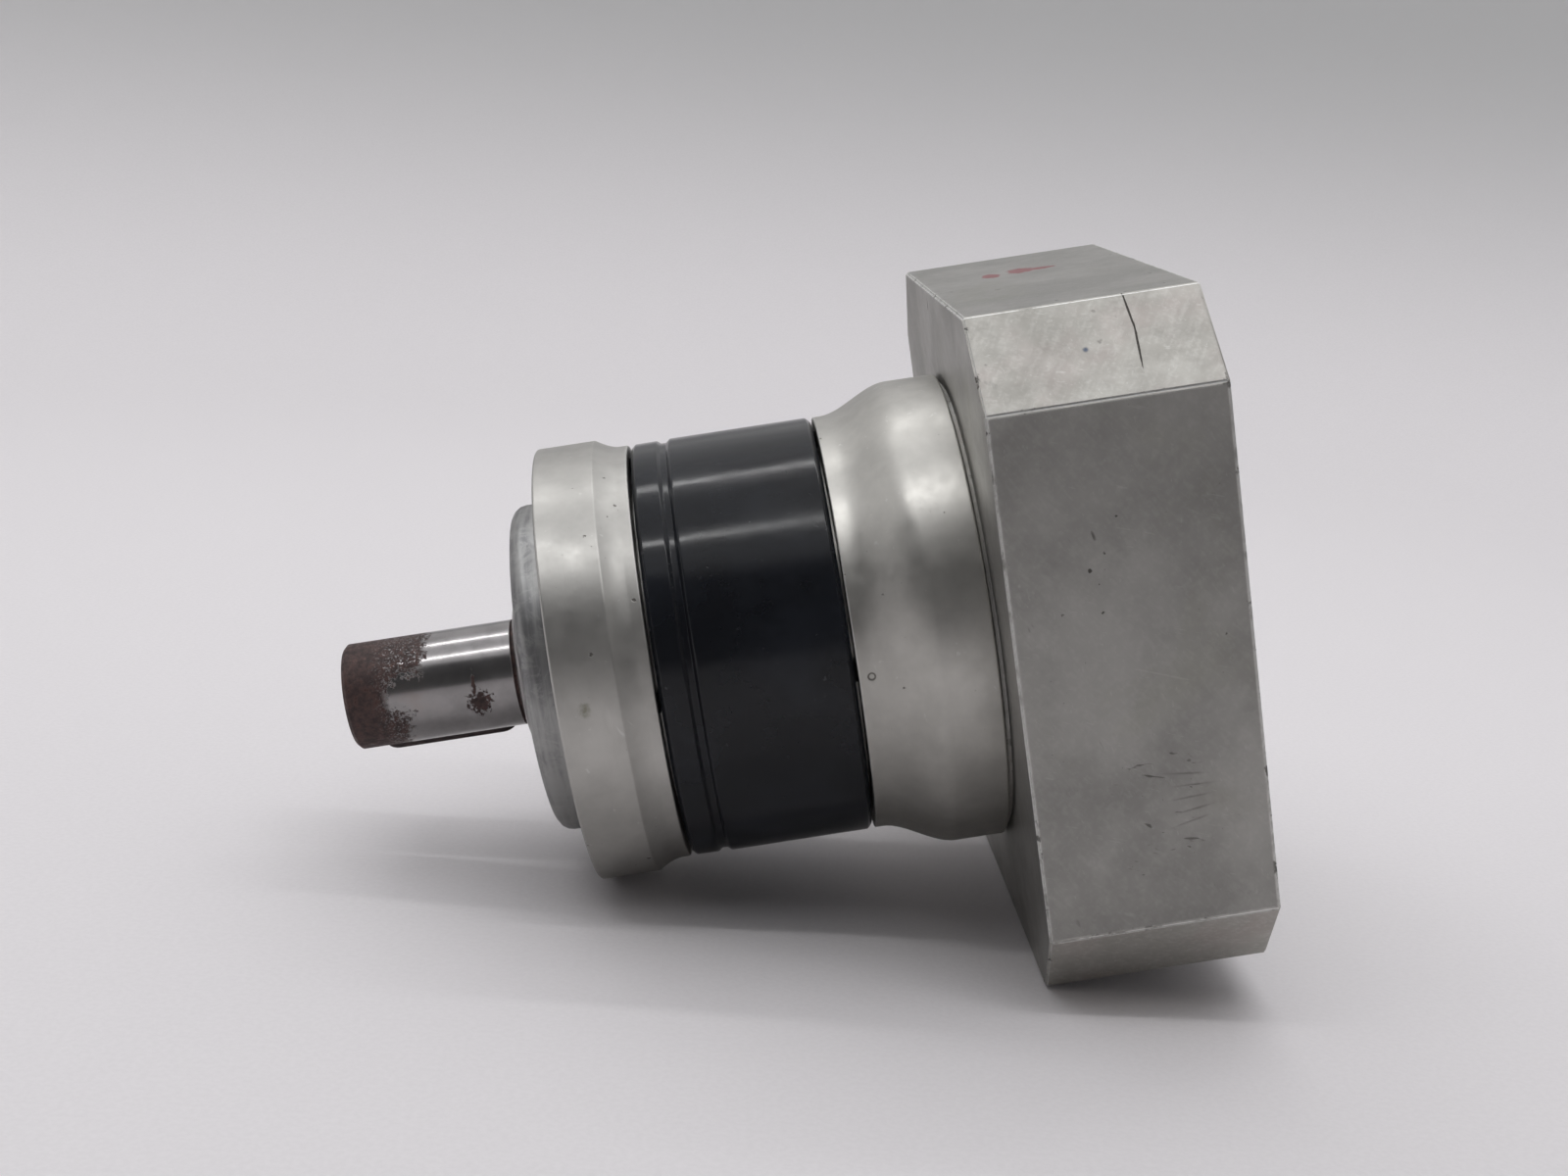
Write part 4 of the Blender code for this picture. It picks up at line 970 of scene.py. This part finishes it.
def black_oxide():
    """Glossy blue-black oxide on the ring gear, slightly rippled, with specks and rubbed edges."""
    look = Look("black_oxide")
    clouds = look.noise(look.stretched((45.0,) * 3), 1.0, 5.0, 0.6)
    colour = look.paint(look.band(clouds, 0.35, 0.7), (0.0065, 0.0075, 0.010), (0.013, 0.015, 0.020))
    rubbed = look.times(look.edges(0.3), look.band(look.noise(look.stretched((300.0,) * 3)), 0.45, 0.6))
    specks = look.specks(260.0, 0.03, 1.0)
    hairs = look.scratches(900.0, (0.2, 0.3, 0.9), 0.4, 6.0)
    colour = look.paint(look.times(rubbed, 0.5), colour, (0.16, 0.165, 0.18))
    colour = look.paint(look.times(hairs, 0.25), colour, (0.12, 0.12, 0.13))
    smears = look.noise(look.stretched((30.0, 90.0, 90.0)), 1.0, 5.0, 0.65)
    roughness = look.blend(look.band(smears, 0.35, 0.7), 0.12, 0.24)
    roughness = look.plus(roughness, look.times(specks, 0.3))
    normal = look.bump(look.lathe_marks(0.0005, 4.0), 0.0022)
    normal = look.bump(look.noise(look.stretched((110.0, 220.0, 220.0)), 1.0, 3.0, 0.5), 0.022, normal)
    normal = look.bump(look.flip(specks), 0.09, normal)
    return look.set(base_color=colour, metallic=0.0, specular_ior_level=0.35, roughness=roughness, normal=normal)


def shaft_rust(look):
    """How rusty the shaft is: its outer end, a ring at the shoulder, one spot with a streak and some pinpricks."""
    station, _, z = look.axes()
    ragged = look.noise(look.stretched((650.0,) * 3), 1.0, 8.0, 0.8)
    limit = look.plus(look.times(z, 0.32), -0.0318)
    past = look.plus(look.math("SUBTRACT", limit, station), look.times(look.plus(ragged, -0.5), 0.011))
    end = look.band(past, 0.0, 0.0004)
    bare = look.mark((-33.2, -10.9, 1.6), (5.4, 5.0, 4.6), ragged=0.9, grain=900.0)
    end = look.times(end, look.flip(look.times(bare, look.band(station, -0.0385, -0.0365))))
    islands = look.noise(look.stretched((2300.0,) * 3, shift=(2.0, 0.0, 0.0)), 1.0, 4.0, 0.6)
    zone = look.times(look.band(station, -0.0415, -0.0335), look.band(islands, 0.54, 0.60))
    end = look.times(end, look.flip(look.times(zone, 0.9)))
    spot = look.mark((-18.6, -10.8, -2.4), (2.4, 2.5, 2.6), ragged=1.7, grain=1300.0)
    streak = look.mark((-19.3, -11.0, 1.6), (0.4, 2.0, 2.6), ragged=1.2, grain=1300.0)
    ring = look.times(look.band(station, -0.0112, -0.0110), look.band(station, -0.0100, -0.0102))
    pricks = look.times(look.specks(420.0, 0.05, 8.0), look.band(station, -0.022, -0.028))
    rust = look.either(look.either(end, spot), look.either(streak, ring))
    return look.either(rust, pricks)


def shaft_steel():
    """Ground steel with fine rings, rusted brown at its outer end."""
    look = Look("shaft_steel")
    rings = look.lathe_marks(0.00016, 1.0)
    clouds = look.noise(look.stretched((120.0,) * 3), 1.0, 5.0, 0.65)
    steel = look.paint(look.band(clouds, 0.3, 0.7), (0.31, 0.298, 0.298), (0.43, 0.415, 0.415))
    steel = look.paint(look.times(rings, 0.2), steel, (0.28, 0.27, 0.27))
    rust = shaft_rust(look)
    mottle = look.noise(look.stretched((700.0,) * 3), 1.0, 6.0, 0.72)
    brown = look.paint(look.band(mottle, 0.35, 0.68), (0.037, 0.022, 0.021), (0.105, 0.060, 0.053))
    halo = look.times(look.band(clouds, 0.5, 0.75), look.band(look.axes()[0], -0.022, -0.034))
    steel = look.paint(look.times(halo, 0.4), steel, (0.30, 0.23, 0.2))
    pits = look.band(mottle, 0.52, 0.66)
    roughness = look.plus(look.blend(look.band(clouds, 0.3, 0.7), 0.14, 0.20), look.times(rings, 0.04))
    roughness = look.blend(rust, roughness, look.blend(pits, 0.62, 0.26))
    colour = look.paint(rust, steel, brown)
    metal = look.flip(look.times(rust, look.blend(pits, 0.9, 0.3)))
    normal = look.bump(rings, 0.0010)
    normal = look.bump(look.times(rust, mottle), 0.16, normal)
    return look.set(base_color=colour, metallic=metal, roughness=roughness, normal=normal)


def key_steel():
    """Dark brown rusted key."""
    look = Look("key_steel")
    mottle = look.noise(look.stretched((600.0,) * 3), 1.0, 6.0, 0.72)
    colour = look.paint(look.band(mottle, 0.35, 0.65), (0.018, 0.012, 0.012), (0.060, 0.038, 0.036))
    colour = look.paint(look.times(look.edges(0.3), 0.4), colour, (0.30, 0.27, 0.26))
    roughness = look.blend(mottle, 0.5, 0.75)
    normal = look.bump(mottle, 0.08)
    return look.set(base_color=colour, metallic=0.2, roughness=roughness, normal=normal)


def bright_steel(name, tint, rough, depth=0.003):
    """Machined steel with its tool rings, light oil stains and bright edges."""
    look = Look(name)
    rings = look.lathe_marks(0.00022, 2.0)
    colour, roughness = worn_metal(look, tint, rough, rings, 0.2)
    oil = look.noise(look.stretched((70.0,) * 3, shift=(3.0, 0.0, 1.0)), 1.0, 5.0, 0.65)
    colour = look.paint(look.times(look.band(oil, 0.5, 0.7), 0.35), colour, (0.25, 0.22, 0.17))
    normal = look.bump(rings, depth)
    return look.set(base_color=colour, metallic=1.0, roughness=roughness, normal=normal)


def spring_steel():
    """Dull phosphated circlips."""
    look = Look("spring_steel")
    speckle = look.noise(look.stretched((1500.0,) * 3), 1.0, 4.0, 0.7)
    colour = look.paint(look.band(speckle, 0.35, 0.65), (0.09, 0.09, 0.095), (0.17, 0.17, 0.175))
    colour = look.paint(look.times(look.edges(0.12), 0.5), colour, (0.45, 0.45, 0.46))
    normal = look.bump(speckle, 0.01)
    return look.set(base_color=colour, metallic=0.9, roughness=look.blend(speckle, 0.4, 0.6), normal=normal)


def screw_steel():
    """Black oxide screws, rubbed at their edges, with traces of old thread lock."""
    look = Look("screw_steel")
    speckle = look.noise(look.stretched((900.0,) * 3), 1.0, 5.0, 0.7)
    colour = look.paint(look.band(speckle, 0.35, 0.7), (0.022, 0.022, 0.024), (0.06, 0.058, 0.056))
    colour = look.paint(look.times(look.edges(0.15), 0.6), colour, (0.36, 0.35, 0.34))
    stain = look.band(look.noise(look.stretched((220.0,) * 3), 1.0, 4.0), 0.58, 0.68)
    colour = look.paint(look.times(stain, 0.5), colour, (0.12, 0.07, 0.04))
    normal = look.bump(speckle, 0.012)
    return look.set(base_color=colour, metallic=0.8, roughness=look.blend(speckle, 0.28, 0.48), normal=normal)


def brass():
    """Thrust washers, polished where they rub."""
    look = Look("brass")
    clouds = look.noise(look.stretched((180.0,) * 3), 1.0, 5.0, 0.65)
    colour = look.paint(look.band(clouds, 0.3, 0.7), (0.46, 0.31, 0.11), (0.72, 0.53, 0.22))
    rings = look.lathe_marks(0.0002, 1.0)
    normal = look.bump(rings, 0.003)
    return look.set(base_color=colour, metallic=1.0, roughness=look.blend(clouds, 0.2, 0.36), normal=normal)


def seal_rubber():
    """Matt black rubber with a fine skin and a little dust."""
    look = Look("seal_rubber")
    skin = look.noise(look.stretched((1300.0,) * 3), 1.0, 4.0, 0.6)
    dust = look.noise(look.stretched((140.0,) * 3), 1.0, 5.0, 0.7)
    colour = look.paint(look.band(skin, 0.3, 0.7), (0.010, 0.010, 0.011), (0.022, 0.022, 0.022))
    colour = look.paint(look.times(look.band(dust, 0.5, 0.75), 0.35), colour, (0.11, 0.10, 0.09))
    normal = look.bump(skin, 0.015)
    return look.set(base_color=colour, roughness=look.blend(dust, 0.5, 0.75), normal=normal)


def plug_plastic():
    """Moulded black plastic with a fine spark-eroded grain and pale rubbed edges."""
    look = Look("plug_plastic")
    grain = look.noise(look.stretched((1800.0,) * 3), 1.0, 3.0, 0.6)
    colour = look.paint(look.band(grain, 0.3, 0.7), (0.014, 0.014, 0.015), (0.032, 0.032, 0.033))
    colour = look.paint(look.times(look.edges(0.25), 0.4), colour, (0.12, 0.12, 0.12))
    normal = look.bump(grain, 0.02)
    return look.set(base_color=colour, roughness=look.blend(grain, 0.38, 0.55), normal=normal)


# ------------------------------------------------------------------------------------------------
# assembly
# ------------------------------------------------------------------------------------------------
def screws(steel):
    """The nine socket head screws, each in the place of its CAD node."""
    sets = (("tie_screw", M4, TIE_R, QUARTERS), ("adapter_screw", M5, ADAPTER_R, DIAGONALS))
    for kind, size, pitch_r, angles in sets:
        for number, angle in enumerate(angles, 1):
            node = f"{kind}_{number}"
            tip, top, _ = span(node)
            screw = socket_screw(f"{node}_fine", size, top - size["head"], tip, polar(pitch_r, angle), 0.4 * number)
            place(screw, "housing", steel, "screw_steel", node)
    screw_x, _, screw_z = middle("clamp_screw")
    low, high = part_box("clamp_screw")
    screw = socket_screw("clamp_screw_fine", M5, high.y / MM - M5["head"], low.y / MM)
    place(about_y(screw, screw_x, screw_z), "input", steel, "screw_steel", "clamp_screw")


def carried_over(finishes):
    """Gives the CAD nodes that stay, all inside the gearbox, the material of their slot."""
    slots = {part["node"]: part["material_slot"] for part in frame["record"]["subparts"]}
    for name, node in frame["nodes"].items():
        if node.hide_render:
            continue
        node.data.materials.clear()
        node.data.materials.append(finishes[slots[name]])
        smooth(node)


def build():
    hub_steel = bright_steel("ground_steel", (0.50, 0.495, 0.485), 0.26)
    rubber = seal_rubber()
    screw_black = screw_steel()
    place(output_flange(), "housing", flange_aluminium(), "machined_aluminium", "output_flange")
    place(ring_gear(), "housing", black_oxide(), "black_steel", "ring_gear")
    place(rear_housing(), "housing", bell_aluminium(), "cast_aluminium", "rear_housing")
    place(adapter_plate(), "housing", plate_aluminium(), "machined_aluminium", "adapter_plate")
    place(access_plug(), "housing", plug_plastic(), "plug_plastic", "access_plug")
    front_seal = lip_seal("shaft_seal_fine", SEAL_START, SEAL_END, SHOULDER_R, SEAL_R)
    place(front_seal, "housing", rubber, "seal_rubber", "shaft_seal")
    rear_seal = lip_seal("input_seal_fine", 71.6, 78.6, 12.5, 18.35)
    place(rear_seal, "housing", rubber, "seal_rubber", "input_seal")
    place(output_shaft(), "output", shaft_steel(), "ground_steel", "output_shaft")
    place(shaft_key(), "output", key_steel(), "rusty_steel", "shaft_key")
    place(sun_shaft(), "input", hub_steel, "ground_steel", "sun_shaft")
    place(clamp_ring(), "input", hub_steel, "ground_steel", "clamp_ring")
    place(motor_shaft_bushing(), "input", hub_steel, "ground_steel", "motor_shaft_bushing")
    screws(screw_black)
    carried_over({
        "ground_steel": hub_steel,
        "bearing_steel": bright_steel("bearing_steel", (0.62, 0.625, 0.63), 0.16, 0.0015),
        "spring_steel": spring_steel(),
        "screw_steel": screw_black,
        "brass": brass(),
        "seal_rubber": rubber,
    })


# ------------------------------------------------------------------------------------------------
# stage, lights and camera
# ------------------------------------------------------------------------------------------------
FLANGE_FOOT = at(0, 0, -FRAME_R)
PLATE_FOOT = at(PLATE_X, 0, -PLATE_HALF)
ALONG_FLOOR = (PLATE_FOOT - FLANGE_FOOT).normalized()
FLOOR_UP = Vector((-ALONG_FLOOR.z, 0, ALONG_FLOOR.x))
FLOOR_TURN = Matrix((ALONG_FLOOR, (0, 1, 0), FLOOR_UP)).transposed().to_4x4()
MIDDLE = at((SHAFT_END + MOTOR_X) / 2, 0, 0)
FLOOR_SPOT = MIDDLE - FLOOR_UP * ((MIDDLE - PLATE_FOOT).dot(FLOOR_UP) + 0.0003)


def paper():
    """Pale seamless paper, with painted shade in a greyer band on the wall behind the gearbox and paler again
    higher up. The camera's side is dark, but only as the metal mirrors it, so that every view has a pale backdrop.
    The flat floor is painted darker too where the metal mirrors it, a painted shade in its reflection."""
    look = Look("paper")
    position = look.node("ShaderNodeSeparateXYZ", {0: look.place}).outputs
    fibre = look.noise(look.stretched((900.0,) * 3), 1.0, 3.0, 0.6)
    colour = look.paint(look.band(fibre, 0.3, 0.7), (0.81, 0.785, 0.80), (0.84, 0.815, 0.83))
    # Painted shade: the wall greys in a band above the floor and turns paler higher up.
    colour = look.paint(look.band(position[2], 0.01, 0.26), colour, (0.50, 0.50, 0.50))
    colour = look.paint(look.band(position[2], 0.30, 0.50), colour, (0.90, 0.90, 0.89))
    front = look.times(look.band(position[1], -0.30, -0.60), look.band(position[2], 0.02, 0.12))
    rays = look.node("ShaderNodeLightPath").outputs
    colour = look.paint(look.times(front, look.flip(rays["Is Camera Ray"])), colour, (0.10, 0.10, 0.10))
    # Painted shade in the reflection: the flat floor is darker where the metal mirrors it, standing in for the
    # floor shaded under the gearbox.
    flat = look.band(position[2], 0.12, 0.04)
    colour = look.paint(look.times(flat, rays["Is Glossy Ray"]), colour, (0.64, 0.62, 0.625))
    return look.set(base_color=colour, roughness=0.9, normal=look.bump(fibre, 0.02))


def sweep():
    """The floor: a flat round that curves up into a wall all round, open at the top."""
    flat_r, bend_r, height = 0.60, 0.45, 1.30
    profile = [(0.0, 0.0), (0.15, 0.0), (0.3, 0.0), (flat_r, 0.0)]
    for step in range(1, 17):
        turn = step / 16 * pi / 2
        profile.append((flat_r + bend_r * sin(turn), bend_r * (1 - cos(turn))))
    profile.append((flat_r + bend_r, height))
    shape = bmesh.new()
    rings = []
    for radius, up in profile:
        spots = [polar(radius, 2 * pi * k / 96) for k in range(96)] if radius else []
        ring = [shape.verts.new((x, y, up)) for x, y in spots]
        rings.append(ring or [shape.verts.new((0, 0, up))] * 96)
    for here, there in zip(rings, rings[1:]):
        for k in range(96):
            shape.faces.new(dict.fromkeys((here[k - 1], there[k - 1], there[k], here[k])))
    mesh = bpy.data.meshes.new("floor")
    shape.to_mesh(mesh)
    shape.free()
    floor = bpy.data.objects.new("floor", mesh)
    bpy.context.scene.collection.objects.link(floor)
    mesh.shade_smooth()
    mesh.materials.append(paper())
    floor.matrix_world = Matrix.Translation(FLOOR_SPOT) @ FLOOR_TURN


def area_light(name, direction, distance, size, watts, tint=(1.0, 1.0, 1.0)):
    """A rectangular light, size long along X and wide across, that faces the gearbox from this direction."""
    data = bpy.data.lights.new(name, "AREA")
    data.shape = "RECTANGLE"
    data.size, data.size_y = size
    data.energy = watts
    data.color = tint
    lamp = bpy.data.objects.new(name, data)
    bpy.context.scene.collection.objects.link(lamp)
    away = (FLOOR_TURN.to_3x3() @ Vector(direction)).normalized()
    along = (ALONG_FLOOR - away * away.dot(ALONG_FLOOR)).normalized()
    lamp.matrix_world = Matrix((along, away.cross(along), away)).transposed().to_4x4()
    lamp.location = MIDDLE + away * distance


def lights():
    """A pale room that looks darker in the metal than it shines on the paper, and two narrow strips of light."""
    world = bpy.data.worlds.new("soft_room")
    world.use_nodes = True
    tree = world.node_tree
    background = tree.nodes["Background"]
    background.inputs["Color"].default_value = (0.98, 0.98, 1.0, 1.0)
    strength = tree.nodes.new("ShaderNodeMapRange")
    strength.inputs["To Min"].default_value = 1.06
    strength.inputs["To Max"].default_value = 0.70
    mirrored = tree.nodes.new("ShaderNodeLightPath").outputs["Is Glossy Ray"]
    tree.links.new(mirrored, strength.inputs["Value"])
    tree.links.new(strength.outputs["Result"], background.inputs["Strength"])
    bpy.context.scene.world = world
    area_light("strip_behind", (-0.05, 0.37, 0.93), 1.0, (1.1, 0.03), 1.45)
    area_light("strip_front", (-0.05, -0.31, 0.95), 1.0, (1.1, 0.03), 1.5)


def camera():
    """The camera stands a little above the gearbox and is rolled, so the shaft points down to the left."""
    data = bpy.data.cameras.new("camera")
    data.lens = 47.15
    data.sensor_width = 36.0
    data.clip_start = 0.01
    eye = bpy.data.objects.new("camera", data)
    bpy.context.scene.collection.objects.link(eye)
    spot, target = at(42.45, -414.1, 109.35), at(46.03, 2.04, 8.62)
    roll = Matrix.Rotation(radians(CAMERA_ROLL), 4, "Z")
    facing = (target - spot).to_track_quat("-Z", "Y").to_matrix().to_4x4()
    eye.matrix_world = Matrix.Translation(spot) @ facing @ roll
    bpy.context.scene.camera = eye
    bpy.context.scene.view_settings.view_transform = "Standard"


build()
sweep()
lights()
camera()
